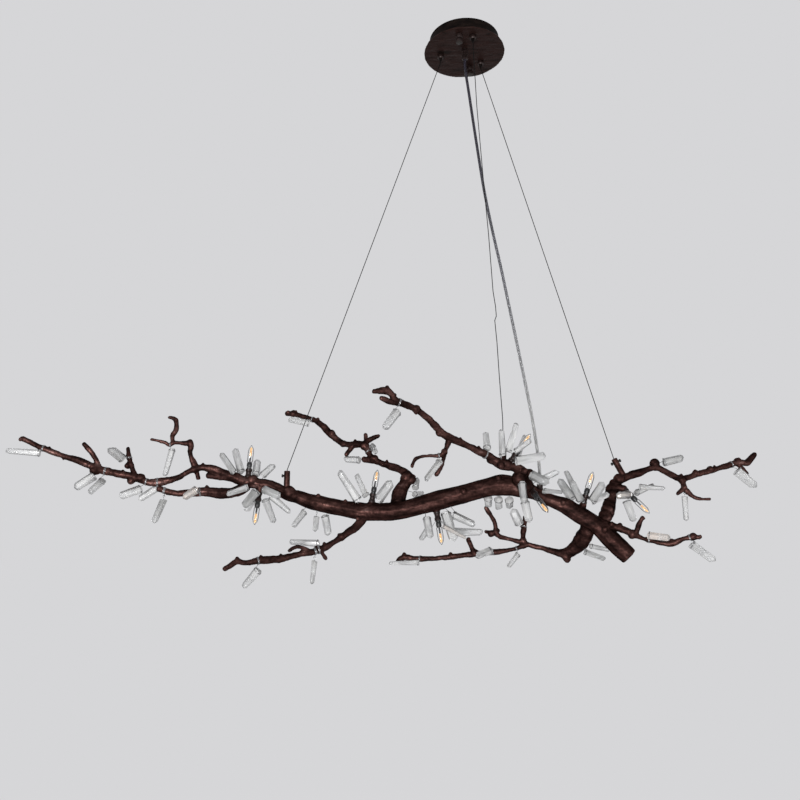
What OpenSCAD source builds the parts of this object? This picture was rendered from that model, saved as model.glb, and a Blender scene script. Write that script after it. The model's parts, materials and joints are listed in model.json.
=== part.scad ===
// Branch chandelier: a crooked forged branch hung level on three steel cables under a round
// ceiling plate, with twigs, wired-on rock crystals and eight small capsule lamps.
// Millimetres, +Z up. The origin is on the ceiling, at the middle of the canopy. +X runs along
// the branch towards its thick sawn end, and -Y faces a viewer in the room.

/* [Hanging] */
// Ceiling down to the level line of the trunk
drop = 920; // [700:10:1400]
// Diameter of each steel cable
cable_d = 1.5; // [1:0.1:2]
// Outer diameter of the clear power cord
cord_d = 5.6; // [4.5:0.1:7]

/* [Canopy] */
// Diameter of the hammered plate
plate_d = 161; // [150:1:200]
// Thickness of the hammered plate
plate_t = 4; // [2:0.5:8]
// Diameter of the drum above the plate
drum_d = 138; // [122:1:150]
// Height of the drum
drum_h = 26; // [25:1:40]
// Wall of the drum
drum_wall = 1.5; // [1:0.25:3]
// Width of the ceiling bracket
bracket_w = 22; // [16:1:26]
// Thickness of the ceiling bracket
bracket_t = 2; // [1.5:0.5:3]
// Circle of the two ceiling screws
screw_circle = 60; // [50:1:70]
// Clearance hole for a ceiling screw
screw_hole_d = 4.5; // [4:0.1:5.5]
// Room between the studs and the inside of the drum
stud_room = 2; // [1:0.5:6]
// How far the fittings sit from the plate's middle, towards the viewer
fitting_shift = 9; // [0:1:10]
// Diameter of a stud
stud_d = 5; // [4:0.5:6]
// Diameter of a cap nut
nut_d = 13; // [10:0.5:16]
// Height of a cap nut
nut_h = 18; // [14:1:24]

/* [Grippers and gland] */
// Room between the grippers' threads and the inside of the drum
gripper_room = 4.5; // [2:0.5:6]
// Diameter of a gripper dome below the plate
gripper_d = 13; // [11:0.5:16]
// Height of a gripper dome
gripper_h = 8; // [6:0.5:12]
// Diameter of a gripper's release nose
nose_d = 6; // [5:0.5:7]
// Travel of a release nose
nose_travel = 3; // [2:0.5:4]
// Diameter of the cord gland
gland_d = 12; // [11:0.5:16]
// Length of the cord gland below the plate
gland_h = 21; // [16:1:30]

/* [Power supply] */
// Length of the lamp driver
driver_l = 46; // [40:1:50]
// Width of the lamp driver
driver_w = 28; // [20:1:30]
// Height of the lamp driver
driver_h = 17; // [12:1:20]
// Width of the terminal block
block_w = 24; // [18:1:30]

/* [Branches] */
// Thickness of the trunk
trunk_d = 32; // [26:1:38]
// Thickness of the side branches
branch_d = 12; // [9:0.5:14]
// Thickness of the twigs
twig_d = 8; // [6:0.5:10]

/* [Cable posts] */
// Diameter of a cable post
post_d = 11; // [9:0.5:14]
// Set screw in a post
set_screw_d = 4; // [3:0.5:5]

/* [Lamps] */
// Outer diameter of a lamp holder
holder_d = 12; // [11.5:0.25:14]
// Height of a lamp holder
holder_h = 16; // [14:1:22]
// Diameter of the socket in the holder
socket_d = 9; // [8:0.25:10]
// How far the socket stands out of the holder
socket_proud = 3; // [2:0.5:6]
// Diameter of a lamp
lamp_d = 10.8; // [9:0.2:12]
// Length of a lamp without its pins
lamp_l = 40; // [34:1:46]
// Distance between a lamp's two pins
pin_pitch = 4; // [3.5:0.1:5]

/* [Crystals] */
// Thickness of the tie wire
wire_d = 1.1; // [0.8:0.1:1.6]
// Size of the crystals' girth against the drawn one
crystal_girth = 1; // [0.85:0.01:1.05]

/* [Hidden] */
$fn = 32;
seat = 0.3;          // gap between pieces that rest on each other but move apart
running = 0.05;      // radial clearance of a turning or sliding fit
free_hole = 0.3;     // radial clearance of a hole round a cable, cord or stud
bite = 2;            // how far a welded foot sinks into the limb that carries it
bronze = [0.16, 0.09, 0.08];
quartz = [0.86, 0.87, 0.88, 0.75];
steel = [0.62, 0.62, 0.64];

// ---- Curves ----
across = [0, 1, 0];
function xyz(p) = [p[0], p[1], p[2]];
function unit(v) = v / norm(v);
function held(r, i) = r[max(0, min(len(r) - 1, i))];
// A point between b and c on the smooth line through a, b, c and d
function bend(a, b, c, d, t) =
    (2 * b + (c - a) * t + (2 * a - 5 * b + 4 * c - d) * t * t
    + (3 * b - a - 3 * c + d) * t * t * t) / 2;
function smooth(r, n) = [for (i = [0:len(r) - 2]) for (k = [0:n - 1])
    bend(held(r, i - 1), r[i], r[i + 1], held(r, i + 2), k / n), r[len(r) - 1]];
function heading(s, i) = unit(xyz(held(s, i + 1)) - xyz(held(s, i - 1)));
function ring(s, i, sides, side) =
    let (t = heading(s, i), u = unit(cross(t, side)), v = cross(t, u))
    [for (k = [0:sides - 1]) xyz(s[i])
        + s[i][3] / 2 * (cos(360 * k / sides) * u + sin(360 * k / sides) * v)];

// A round bar through the stations s, each [x, y, z, diameter]
module tube(s, sides = 8, side = across) {
    last = (len(s) - 1) * sides;
    points = [for (i = [0:len(s) - 1]) each ring(s, i, sides, side)];
    walls = [for (i = [0:len(s) - 2]) for (k = [0:sides - 1])
        let (a = i * sides + k, b = i * sides + (k + 1) % sides)
        each [[a, a + sides, b + sides], [a, b + sides, b]]];
    ends = [[for (k = [0:sides - 1]) k], [for (k = [sides - 1:-1:0]) last + k]];
    polyhedron(points, concat(walls, ends), convexity = 10);
}

// Stations of a limb: its route, smoothed, with the last number as a share of thickness d
function sized(r, d) = [for (p = r) [p[0], p[1], p[2], p[3] * d]];
function limb(r, d) = smooth(sized(r, d), 3);
// The same with a rounded free end
function rounded_end(s) = let (n = len(s) - 1, t = heading(s, n), d = s[n][3])
    concat(s, [[each (xyz(s[n]) + t * d * 0.22), d * 0.8], [each (xyz(s[n]) + t * d * 0.36), d * 0.4]]);
module branch(s, sides = 8) tube(rounded_end(s), sides);
// A knot or a bud on limb s, on the side of place p
module knot(s, p, d) {
    f = foot(s, p);
    out = unit(p - xyz(f));
    hull() {
        translate(xyz(f) + out * max(f[3] / 2 - d * 0.4, 0)) sphere(d = d, $fn = 8);
        translate(xyz(f) + out * (f[3] / 2 + d * 0.12)) sphere(d = d * 0.7, $fn = 8);
    }
}

// Turns +Z to direction v at place p
module along(p, v) translate(p)
    rotate([0, acos(unit(v)[2]), atan2(v[1], v[0])]) children();

// ---- Limb routes: x, y, z above the trunk's level line, share of thickness ----
TRUNK = limb([[-320, 20, 10, 0.7], [-295, 16, 0, 0.82], [-265, 12, -7, 0.87],
    [-235, 10, -13, 0.9], [-192, 5, -20, 0.96], [-142, 0, -19, 1], [-104, -3, -12, 0.98],
    [-57, -5, 1, 1.06], [-16, -6, 11, 1], [22, -8, 22, 1], [55, -10, 27, 1.15],
    [84, -12, 22, 1.02], [110, -12, 13, 0.74], [140, -10, 0, 0.72], [165, -10, -10, 0.88],
    [190, -12, -26, 0.94], [214, -14, -41, 0.94], [234, -16, -60, 1], [253, -18, -80, 0.99],
    [271, -20, -98, 0.93]], trunk_d);
LEFT = limb([[-308, 19, 6, 1.95], [-336, 20, 13, 1.8], [-365, 20, 27, 1.75],
    [-400, 18, 34, 1.65], [-418, 16, 38, 1.4], [-454, 12, 51, 1.3], [-488, 8, 60, 0.95],
    [-512, 4, 52, 0.85], [-532, 0, 40, 0.9], [-555, -4, 34, 1.05], [-580, -8, 32, 1],
    [-609, -12, 42, 1.05], [-634, -16, 46, 1.05], [-662, -22, 53, 1.05],
    [-690, -28, 65, 0.95], [-727, -36, 77, 0.92], [-760, -44, 90, 0.8],
    [-792, -50, 106, 0.78]], branch_d);
LEFT_STUB = limb([[-430, 15, 41, 0.9], [-455, 12, 43, 0.9], [-478, 10, 46, 0.9]], branch_d);
LEFT_LOW = limb([[-408, 16, 28, 1.45], [-424, 10, 17, 1.55], [-440, 4, 13, 1.55],
    [-462, -4, 14, 1.5], [-485, -10, 15, 1.2], [-508, -14, 12, 1.05], [-530, -18, 12, 1],
    [-556, -22, 19, 0.95]], branch_d);
LEFT_TWIG_1 = limb([[-664, -22, 55, 1.1], [-676, -26, 80, 1], [-692, -30, 99, 0.9]], twig_d);
LEFT_TWIG_2 = limb([[-603, -12, 44, 1.1], [-616, -8, 69, 1], [-622, -4, 94, 0.9]], twig_d);
LEFT_RISER = limb([[-496, 12, 38, 0.95], [-502, 8, 62, 1.2], [-510, 2, 82, 1.2],
    [-509, -2, 98, 1.15], [-511, -3, 108, 1.1]], twig_d);
LEFT_RISER_ARM = limb([[-509, -2, 102, 0.95], [-526, -6, 104, 0.9], [-538, -10, 103, 0.85],
    [-545, -12, 98, 0.8], [-555, -14, 104, 0.8], [-576, -18, 108, 0.72]], twig_d);
LEFT_RISER_TIP = limb([[-539, -10, 102, 0.95], [-541, -8, 116, 1.05], [-536, -6, 127, 1.05],
    [-539, -4, 146, 1.05], [-550, -6, 150, 0.75]], twig_d);
LOW_LEFT = limb([[-188, 2, -22, 1.4], [-206, -10, -46, 1.05], [-222, -18, -58, 1],
    [-239, -26, -69, 0.92], [-267, -40, -87, 0.92], [-298, -54, -93, 0.86],
    [-331, -70, -101, 0.86], [-361, -86, -103, 0.85], [-384, -98, -107, 0.78],
    [-396, -104, -105, 0.78], [-414, -112, -116, 0.72]], branch_d);
LOW_LEFT_LOOP = limb([[-280, -46, -91, 0.9], [-295, -58, -83, 0.8], [-306, -66, -82, 0.75],
    [-316, -72, -88, 0.7]], twig_d);
LOW_LEFT_PRONG = limb([[-266, -40, -88, 0.8], [-257, -34, -102, 0.65]], twig_d);
REAR = limb([[-133, 4, -6, 2.3], [-130, 12, 14, 2.15], [-120, 20, 31, 1.85],
    [-113, 26, 44, 1.4], [-122, 32, 54, 1.15], [-136, 40, 62, 1], [-175, 60, 78, 0.98],
    [-188, 68, 94, 1], [-199, 76, 112, 1], [-235, 92, 113, 0.97], [-262, 104, 133, 0.95],
    [-288, 118, 158, 0.92], [-314, 130, 172, 0.92], [-357, 148, 184, 0.88]], branch_d);
REAR_FORK_1 = limb([[-194, 76, 110, 1.2], [-196, 84, 132, 1.05]], twig_d);
REAR_FORK_2 = limb([[-198, 76, 112, 1.2], [-184, 70, 121, 1.05], [-169, 64, 126, 0.92]], twig_d);
REAR_HOOK = limb([[-219, 85, 111, 1.05], [-232, 80, 92, 0.98]], twig_d);
REAR_STUB = limb([[-176, 60, 79, 1.4], [-198, 66, 81, 1.45]], twig_d);
FORE = limb([[115, -14, 12, 1.2], [99, -28, 23, 1.25], [90, -37, 36, 1.4], [84, -43, 48, 1.45],
    [67, -49, 58, 1.5], [45, -56, 61, 1.55], [27, -64, 71, 1.15], [8, -74, 80, 0.95],
    [-25, -92, 92, 0.9], [-55, -108, 105, 0.87], [-80, -124, 127, 0.84],
    [-107, -140, 145, 0.83], [-134, -154, 153, 0.82], [-148, -162, 168, 0.8],
    [-172, -172, 166, 0.75]], branch_d);
FORE_PRONG = limb([[-130, -152, 150, 1.05], [-146, -159, 152, 0.95], [-160, -166, 156, 0.9]], twig_d);
FORE_ARM = limb([[-45, -102, 99, 1.05], [-52, -104, 78, 1.02], [-58, -107, 70, 0.95],
    [-88, -116, 67, 0.88], [-104, -121, 61, 0.88], [-109, -124, 49, 0.8]], twig_d);
FORE_ARM_TIP = limb([[-53, -105, 74, 0.95], [-60, -98, 52, 0.88], [-68, -94, 38, 0.8]], twig_d);
RIGHT = limb([[224, -12, -42, 1.8], [243, 0, -23, 1.65], [252, 10, -4, 1.6], [257, 18, 16, 1.6],
    [267, 24, 33, 1.45], [286, 30, 44, 1.2], [318, 38, 54, 1.02], [347, 44, 64, 0.95],
    [372, 50, 54, 0.9], [400, 58, 44, 0.9], [426, 64, 51, 0.88], [468, 74, 62, 0.88],
    [521, 86, 77, 0.88], [540, 90, 77, 0.88], [560, 96, 95, 0.8]], branch_d);
RIGHT_PRONG = limb([[258, 18, 24, 1.6], [268, 14, 23, 1.6], [278, 9, 22, 1.5]], twig_d);
RIGHT_DOWN = limb([[402, 58, 43, 1.1], [402, 52, 24, 0.97]], twig_d);
RIGHT_DOWN_1 = limb([[403, 54, 27, 0.92], [387, 46, 15, 0.84]], twig_d);
RIGHT_DOWN_2 = limb([[401, 54, 26, 0.92], [418, 44, 7, 0.9], [442, 36, 4, 0.82]], twig_d);
RIGHT_TIP = limb([[519, 86, 76, 1.1], [533, 78, 55, 0.95]], twig_d);
RIGHT_TWIG = limb([[226, -18, -42, 2], [256, -27, -50, 1.4], [289, -36, -66, 1.15],
    [309, -42, -72, 1.12], [335, -48, -76, 1.1], [363, -56, -66, 1], [382, -62, -65, 0.9]], twig_d);
RIGHT_BUD = limb([[281, -34, -63, 0.85], [285, -38, -46, 0.9], [292, -42, -30, 0.6]], twig_d);
LOW_RIGHT = limb([[207, 0, -38, 2.1], [206, 12, -56, 2.15], [198, 24, -73, 2.15],
    [184, 36, -88, 2], [167, 44, -94, 1.35], [149, 50, -89, 0.82], [112, 60, -78, 0.78],
    [73, 56, -68, 0.62], [50, 52, -60, 0.6], [46, 46, -37, 0.57], [29, 36, -11, 0.55]], branch_d);
LOW_RIGHT_PRONG = limb([[50, 52, -58, 0.95], [30, 60, -54, 0.8]], twig_d);
LOW_RIGHT_SPUR = limb([[99, 59, -73, 0.98], [103, 66, -44, 0.95], [107, 72, -26, 0.9]], twig_d);
LOW_RIGHT_LONG = limb([[108, 60, -77, 1.2], [90, 63, -84, 1.15], [55, 72, -91, 1.12],
    [13, 84, -95, 1.12], [-34, 96, -101, 1.12], [-87, 108, -105, 1.12], [-121, 116, -102, 1.12],
    [-133, 120, -110, 1.05]], twig_d);
LOW_RIGHT_LINK = limb([[12, 84, -96, 1.25], [-1, 76, -69, 1.15]], twig_d);

// ---- Where things sit on a limb ----
function reach(s, p) = [for (q = s) norm(xyz(q) - p)];
function station(s, p) = let (g = reach(s, p)) [for (i = [0:len(g) - 1]) if (g[i] == min(g)) i][0];
// How far along from a to b the place p lies, from 0 to 1
function share(a, b, p) = let (ab = xyz(b) - xyz(a)) max(0, min(1, (p - xyz(a)) * ab / (ab * ab)));
// First station of the stretch of limb that passes nearest to p
function stretch(s, p) = let (i = station(s, p))
    i == len(s) - 1 || (i > 0 && share(s[i], s[i + 1], p) == 0) ? i - 1 : i;
// The point of the limb's middle line nearest to p, with the limb's thickness there
function foot(s, p) = let (i = stretch(s, p)) s[i] + (s[i + 1] - s[i]) * share(s[i], s[i + 1], p);
function run_of(s, p) = let (i = stretch(s, p)) unit(xyz(s[i + 1]) - xyz(s[i]));

// ---- Lamps: limb, place on it, direction, length of the nub under the holder ----
LAMPS = [
    [LEFT, [-407, 18, 38], [0.09, -0.06, 1], 0],
    [LEFT, [-384, 18, 32], [-0.08, -0.17, -1], 8],
    [TRUNK, [-183, 4, -18], [0.18, -0.1, 1], 4],
    [TRUNK, [-66, -5, -2], [0.14, -0.12, -1], 4],
    [FORE, [60, -51, 59], [0.72, -0.31, 1], 0],
    [FORE, [99, -28, 23], [0.5, -0.75, -0.95], 0],
    [TRUNK, [190, -12, -26], [0.33, -0.1, 1], 8],
    [RIGHT_PRONG, [276, 10, 22], [0.75, -0.45, -0.9], 0]];
function lamp_foot(n) = foot(LAMPS[n][0], LAMPS[n][1]);
function lamp_way(n) = unit(LAMPS[n][2]);
// Foot of the holder, on the surface of the limb or of the nub
function holder_foot(n) = xyz(lamp_foot(n)) + lamp_way(n) * (lamp_foot(n)[3] / 2 - bite + LAMPS[n][3]);
holder_wall = (holder_d - socket_d) / 2 - running;
socket_deep = holder_h - 4;
socket_face = holder_h + socket_proud;
lamp_seat = socket_face + seat;
lamp_base_h = 9;
lamp_wall = 0.8;
lamp_pin_d = 0.7;
lamp_pin_l = 7;
// A lamp's holder seen as a limb, for the crystals fixed round it
function stem(n) = [for (h = [0:2:holder_h - 2]) [each (holder_foot(n) + lamp_way(n) * h), holder_d]];

// ---- Crystals: carrier, root, tip, girth ----
LEFT_CRYSTALS = [
    [LEFT, [-760, -46, 80], [-817, -56, 82], 10.5], [LEFT, [-668, -32, 42], [-696, -46, 18], 15],
    [LEFT, [-660, -12, 36], [-688, -2, 13], 13], [LEFT_TWIG_2, [-626, -12, 72], [-650, -26, 92], 15],
    [LEFT, [-586, -22, 20], [-621, -38, 5], 14], [LEFT, [-568, 8, 24], [-604, 16, 2], 12],
    [LEFT_LOW, [-485, -31, 19], [-509, -39, 2], 12.5], [LEFT_RISER_ARM, [-538, -16, 92], [-548, -22, 42], 11]];
LEFT_CLUSTER = [
    [LEFT, [-429, 4, 50], [-452, -14, 84], 11.5], [LEFT, [-421, 26, 52], [-438, 38, 99], 14],
    [LEFT, [-396, 32, 48], [-398, 56, 79], 12.5], [LEFT, [-382, 24, 47], [-358, 12, 66], 12],
    [LEFT, [-404, 0, 24], [-436, -24, 10], 11.4], [LEFT, [-388, 0, 16], [-407, -20, -12], 15],
    [stem(1), [-396, 24, 6], [-414, 42, -18], 12.5], [LEFT, [-374, 4, 20], [-341, -24, 6], 13.5],
    [LEFT, [-364, 10, 10], [-326, 4, -22], 11.4], [stem(1), [-376, 24, 4], [-360, 40, -39], 12.5],
    [TRUNK, [-300, 8, -18], [-320, -8, -47], 11.4], [TRUNK, [-266, 20, -24], [-259, 28, -62], 12.5]];
LOW_LEFT_CRYSTALS = [
    [LOW_LEFT, [-362, -92, -118], [-389, -82, -148], 12.5],
    [LOW_LEFT, [-268, -38, -76], [-322, -30, -73], 11.5]];
REAR_CRYSTALS = [
    [REAR, [-308, 118, 158], [-350, 110, 165], 13], [REAR_STUB, [-204, 66, 80], [-236, 84, 84], 12],
    [REAR, [-182, 58, 106], [-174, 34, 90], 12]];
MID_CLUSTER = [
    [TRUNK, [-204, -6, 0], [-238, -22, 52], 15], [stem(2), [-190, 8, 8], [-210, 26, 50], 12],
    [TRUNK, [-168, -12, 0], [-143, -28, 33], 16], [REAR, [-101, 34, 24], [-96, 56, 44], 10.9],
    [REAR, [-104, 24, 12], [-86, 44, 16], 10]];
FORE_CRYSTALS = [
    [FORE, [-132, -150, 138], [-155, -160, 106], 13.5], [FORE_ARM, [-62, -110, 60], [-88, -122, 26], 10.5],
    [FORE, [22, -64, 85], [21, -46, 117], 13.5]];
LOW_CLUSTER = [
    [TRUNK, [-82, -14, -30], [-75, -32, -67], 13], [stem(3), [-76, 6, -46], [-92, 24, -70], 10],
    [TRUNK, [-48, -14, -22], [-34, -32, -72], 16], [TRUNK, [-36, -22, -26], [2, -38, -44], 12.4],
    [stem(3), [-40, 4, -56], [20, 12, -56], 15], [stem(3), [-54, -30, -46], [-16, -56, -67], 7]];
TOP_CLUSTER = [
    [FORE, [48, -70, 72], [46, -72, 119], 11], [stem(4), [58, -64, 80], [74, -66, 131], 11.7],
    [stem(4), [76, -42, 72], [96, -18, 116], 11], [stem(4), [70, -68, 80], [94, -92, 98], 10.5],
    [FORE, [68, -68, 64], [122, -72, 74], 14]];
NECK_CLUSTER = [
    [FORE, [84, -46, 28], [84, -62, -8], 13.5], [TRUNK, [92, -18, -2], [98, -26, -40], 13.5],
    [FORE, [98, -52, 42], [128, -64, 26], 15], [TRUNK, [112, -32, 30], [150, -42, 49], 12],
    [TRUNK, [124, -26, 16], [154, -48, 12], 8.8], [TRUNK, [30, 8, 6], [33, 32, -10], 14],
    [TRUNK, [49, 8, 4], [52, 32, -14], 14], [TRUNK, [68, 6, 2], [71, 30, -10], 13]];
RIGHT_CLUSTER = [
    [stem(6), [182, -2, 0], [160, 14, 40], 15], [stem(6), [192, 6, 10], [177, 30, 56], 12.5],
    [stem(6), [190, -24, -2], [171, -44, 32], 13], [stem(6), [210, -22, -2], [228, -40, 30], 13.5],
    [stem(6), [214, -6, -2], [240, -28, 10], 11]];
END_CLUSTER = [
    [stem(7), [298, 10, 14], [338, 26, 30], 10], [RIGHT_PRONG, [300, -4, 24], [342, -20, 20], 10],
    [stem(7), [280, -12, 10], [252, -36, 6], 13], [stem(7), [276, -4, 0], [284, -18, -38], 13]];
RIGHT_CRYSTALS = [
    [RIGHT, [360, 38, 72], [398, 32, 81], 14.5], [RIGHT, [512, 75, 62], [543, 64, 28], 17],
    [RIGHT_TWIG, [296, -50, -62], [330, -66, -67], 12.5],
    [RIGHT_TWIG, [366, -60, -76], [402, -68, -106], 12.8]];
LOW_RIGHT_CRYSTALS = [
    [LOW_RIGHT, [208, 44, -90], [248, 48, -104], 10], [LOW_RIGHT, [215, 28, -80], [254, 40, -88], 8],
    [LOW_RIGHT_LONG, [42, 66, -88], [10, 58, -100], 13], [LOW_RIGHT_LONG, [92, 68, -94], [70, 60, -119], 9.3],
    [LOW_RIGHT_SPUR, [95, 62, -42], [80, 54, -12], 15],
    [LOW_RIGHT_LONG, [-92, 102, -111], [-150, 94, -112], 9.5]];
HUNG = [
    [LEFT_LOW, [-550, -22, 6], [-564, -30, -36], 12], [TRUNK, [-284, 15, -24], [-287, 15, -52], 12.5],
    [LOW_LEFT, [-271, -44, -106], [-276, -44, -146], 10.3], [RIGHT_DOWN, [402, 48, 10], [401, 46, -36], 12.4]];
CRYSTAL_GROUPS = [LEFT_CRYSTALS, LEFT_CLUSTER, LOW_LEFT_CRYSTALS, REAR_CRYSTALS, MID_CLUSTER,
    FORE_CRYSTALS, LOW_CLUSTER, TOP_CLUSTER, NECK_CLUSTER, RIGHT_CLUSTER, END_CLUSTER,
    RIGHT_CRYSTALS, LOW_RIGHT_CRYSTALS];

pin_room = 1.5;        // least length of the wire between a limb and a crystal
thick_limb = 15;       // a limb thicker than this has its wires set in drilled holes
function foot_of(c) = foot(c[0], c[1]);
function off_of(c) = unit(c[1] - xyz(foot_of(c)));
// The root moves out with the limb's surface
function root_of(c) = xyz(foot_of(c))
    + off_of(c) * max(norm(c[1] - xyz(foot_of(c))), foot_of(c)[3] / 2 + pin_room);
function axis_of(c) = unit(c[2] - c[1]);
function length_of(c) = norm(c[2] - c[1]);

// A natural quartz point: six sides, a blunt root and a steep tip
module crystal(c) {
    w = c[3] * crystal_girth;
    a = axis_of(c);
    l = length_of(c);
    shape = [[0, 0.66], [0.07, 0.97], [0.5, 1], [0.8, 0.9], [1, 0.16]];
    tube([for (f = shape) [each (root_of(c) + a * l * f[0]), w * f[1]]], 6,
        abs(a[2]) < 0.9 ? [0, 0, 1] : [1, 0, 0]);
}

// A band of wire round the limb of crystal c
module wire_band(c) along(xyz(foot_of(c)), run_of(c[0], c[1])) difference() {
    cylinder(d = foot_of(c)[3] + 2 * (seat + wire_d), h = wire_d, center = true);
    cylinder(d = foot_of(c)[3] + 2 * seat, h = 2 * wire_d, center = true);
}
// A straight wire from p to q
module wire(p, q) along(p, q - p) cylinder(d = wire_d, h = norm(q - p));

// The wire that holds a crystal: a band round a thin limb, or a pin set in a thick one
function thin(c) = foot_of(c)[3] < thick_limb && len(c[0]) > 9;
module crystal_wire(c) {
    foot = foot_of(c);
    t = run_of(c[0], c[1]);
    flat = unit(off_of(c) - t * (off_of(c) * t));
    out = foot[3] / 2 + (thin(c) ? seat + wire_d / 2 : -wire_d / 2);
    wire(xyz(foot) + flat * out, root_of(c) - axis_of(c) * (wire_d / 2 + seat));
    if (thin(c)) wire_band(c);
}

// A crystal that swings: a hook on the limb, and an eye and wire on the crystal
eye_r = 1.6;
hook_side = 3;
hung_gap = 2.4;
function hook_of(c) = let (s = foot_of(c)) [s[0], s[1], s[2] - s[3] / 2 - seat - wire_d - hung_gap];
module crystal_hook(c) {
    foot = foot_of(c);
    h = hook_of(c);
    side = [0, hook_side, 0];
    wire(xyz(foot) - [0, 0, foot[3] / 2 + (thin(c) ? seat + wire_d / 2 : -wire_d)], h + side);
    wire(h + side * 1.2, h - side);
    if (thin(c)) wire_band(c);
}
module hung_crystal(c) {
    h = hook_of(c);
    drop_to = h - [0, 0, eye_r * 2 + 3];
    a = axis_of(c);
    translate(h - [0, 0, eye_r - wire_d]) rotate([90, 0, 0]) rotate_extrude()
        translate([eye_r, 0]) circle(d = wire_d * 0.8, $fn = 16);
    translate(drop_to) cylinder(d = wire_d, h = 3 + wire_d, $fn = 16);
    w = c[3] * crystal_girth;
    shape = [[0, 0.5], [0.07, 0.95], [0.5, 1], [0.8, 0.9], [1, 0.16]];
    tube([for (f = shape) [each (drop_to + a * length_of(c) * f[0] + [0, 0, 0.6]), w * f[1]]], 6, [1, 0, 0]);
}

// ---- Levels and places of the canopy ----
plate_z = -drum_h - plate_t;                  // underside of the plate
bracket_turn = -16;                           // the bracket stands a little askew
middle = [0, -fitting_shift, 0];              // middle of the bracket and of the fittings
fitting_reach = drum_d / 2 - drum_wall - fitting_shift;    // from there to the drum's wall
thread_d = nose_d + 4;                        // thread of a gripper
stud_circle = 2 * (fitting_reach - stud_room) - stud_d;
gripper_circle = 2 * (fitting_reach - gripper_room) - thread_d;
stud_arm = stud_circle / 2 * [sin(bracket_turn), -cos(bracket_turn), 0];
function stud_at(s) = middle + s * stud_arm;
stud_l = drum_h + plate_t + nut_h - 6;
gripper_turns = [164, -76, 44];
function gripper_at(n) = middle + gripper_circle / 2 * [cos(gripper_turns[n]), sin(gripper_turns[n]), 0];
gland_at = middle - [0, 3, 0];
cable_hole_d = cable_d + 2 * free_hole;
cord_hole_d = cord_d + 2 * free_hole;
nose_out = 3;
nose_in = 8;
gripper_top = 6;                              // length of a gripper's thread above the plate

module ceiling_bracket() color(steel) difference() {
    translate(middle - [0, 0, bracket_t / 2]) rotate([0, 0, bracket_turn])
        cube([bracket_w, stud_circle + stud_d + 2, bracket_t], center = true);
    for (s = [-1, 1]) {
        translate(stud_at(s) - [0, 0, bracket_t + 1]) cylinder(d = stud_d + 2 * running, h = bracket_t + 2);
        translate(middle + s * stud_arm * screw_circle / stud_circle - [0, 0, bracket_t + 1])
            cylinder(d = screw_hole_d, h = bracket_t + 2);
    }
}

module bracket_studs() color(steel) for (s = [-1, 1])
    translate(stud_at(s) - [0, 0, stud_l]) cylinder(d = stud_d, h = stud_l);

module canopy_drum() color(bronze) translate([0, 0, -drum_h]) difference() {
    cylinder(d = drum_d, h = drum_h, $fn = 96);
    translate([0, 0, -1]) cylinder(d = drum_d - 2 * drum_wall, h = drum_h + 2, $fn = 96);
}

module canopy_plate() color(bronze) difference() {
    translate([0, 0, plate_z]) cylinder(d = plate_d, h = plate_t, $fn = 96);
    for (s = [-1, 1]) translate(stud_at(s) + [0, 0, plate_z - 1])
        cylinder(d = stud_d + 2 * free_hole, h = plate_t + 2);
    for (n = [0:2]) translate(gripper_at(n) + [0, 0, plate_z - 1])
        cylinder(d = thread_d + 2 * running, h = plate_t + 2);
    translate(gland_at + [0, 0, plate_z - 1]) cylinder(d = gland_d - 2 + 2 * running, h = plate_t + 2);
}

module cap_nut(s) color(bronze) translate(stud_at(s) + [0, 0, plate_z - seat / 3 - nut_h]) {
    difference() {
        union() {
            cylinder(d = nut_d, h = nut_h * 0.45);
            cylinder(d = nut_d - 1.6, h = nut_h);
            translate([0, 0, nut_h * 0.55]) cylinder(d = nut_d, h = nut_h * 0.45);
        }
        translate([0, 0, 4]) cylinder(d = stud_d + 2 * running, h = nut_h);
    }
}
module cap_nut_front() cap_nut(1);
module cap_nut_rear() cap_nut(-1);

module cord_gland() color(bronze) translate(gland_at) difference() {
    union() {
        translate([0, 0, plate_z - gland_h]) cylinder(d = gland_d - 2, h = gland_h + plate_t + 6);
        for (k = [0:3]) translate([0, 0, plate_z - gland_h + k * gland_h / 4 + seat])
            cylinder(d = gland_d, h = gland_h / 4 - 1.2);
    }
    translate([0, 0, plate_z - gland_h - 1]) cylinder(d = cord_hole_d, h = gland_h + plate_t + 8);
}

module gland_nut() color(steel) translate(gland_at + [0, 0, plate_z + plate_t]) difference() {
    cylinder(d = gland_d + 4, h = 4, $fn = 6);
    translate([0, 0, -1]) cylinder(d = gland_d - 2 + 2 * running, h = 6);
}

module gripper_bodies() color(bronze) for (n = [0:2]) translate(gripper_at(n)) difference() {
    union() {
        translate([0, 0, plate_z - gripper_h]) cylinder(d = gripper_d - 2, h = gripper_h);
        translate([0, 0, plate_z - gripper_h * 0.75]) cylinder(d = gripper_d, h = gripper_h * 0.75);
        translate([0, 0, plate_z]) cylinder(d = thread_d, h = plate_t + gripper_top);
    }
    translate([0, 0, plate_z - gripper_h - 1])
        cylinder(d = nose_d + 2 * running, h = nose_in + nose_travel + 1);
    translate([0, 0, plate_z]) cylinder(d = cable_hole_d, h = plate_t + gripper_top + 1);
}

module gripper_nose(n) color(steel) translate(gripper_at(n) + [0, 0, plate_z - gripper_h - nose_out])
    difference() {
        cylinder(d = nose_d, h = nose_out + nose_in - seat);
        translate([0, 0, -1]) cylinder(d = cable_hole_d, h = nose_out + nose_in + 2);
    }
module gripper_nose_a() gripper_nose(0);
module gripper_nose_b() gripper_nose(1);
module gripper_nose_c() gripper_nose(2);

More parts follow.
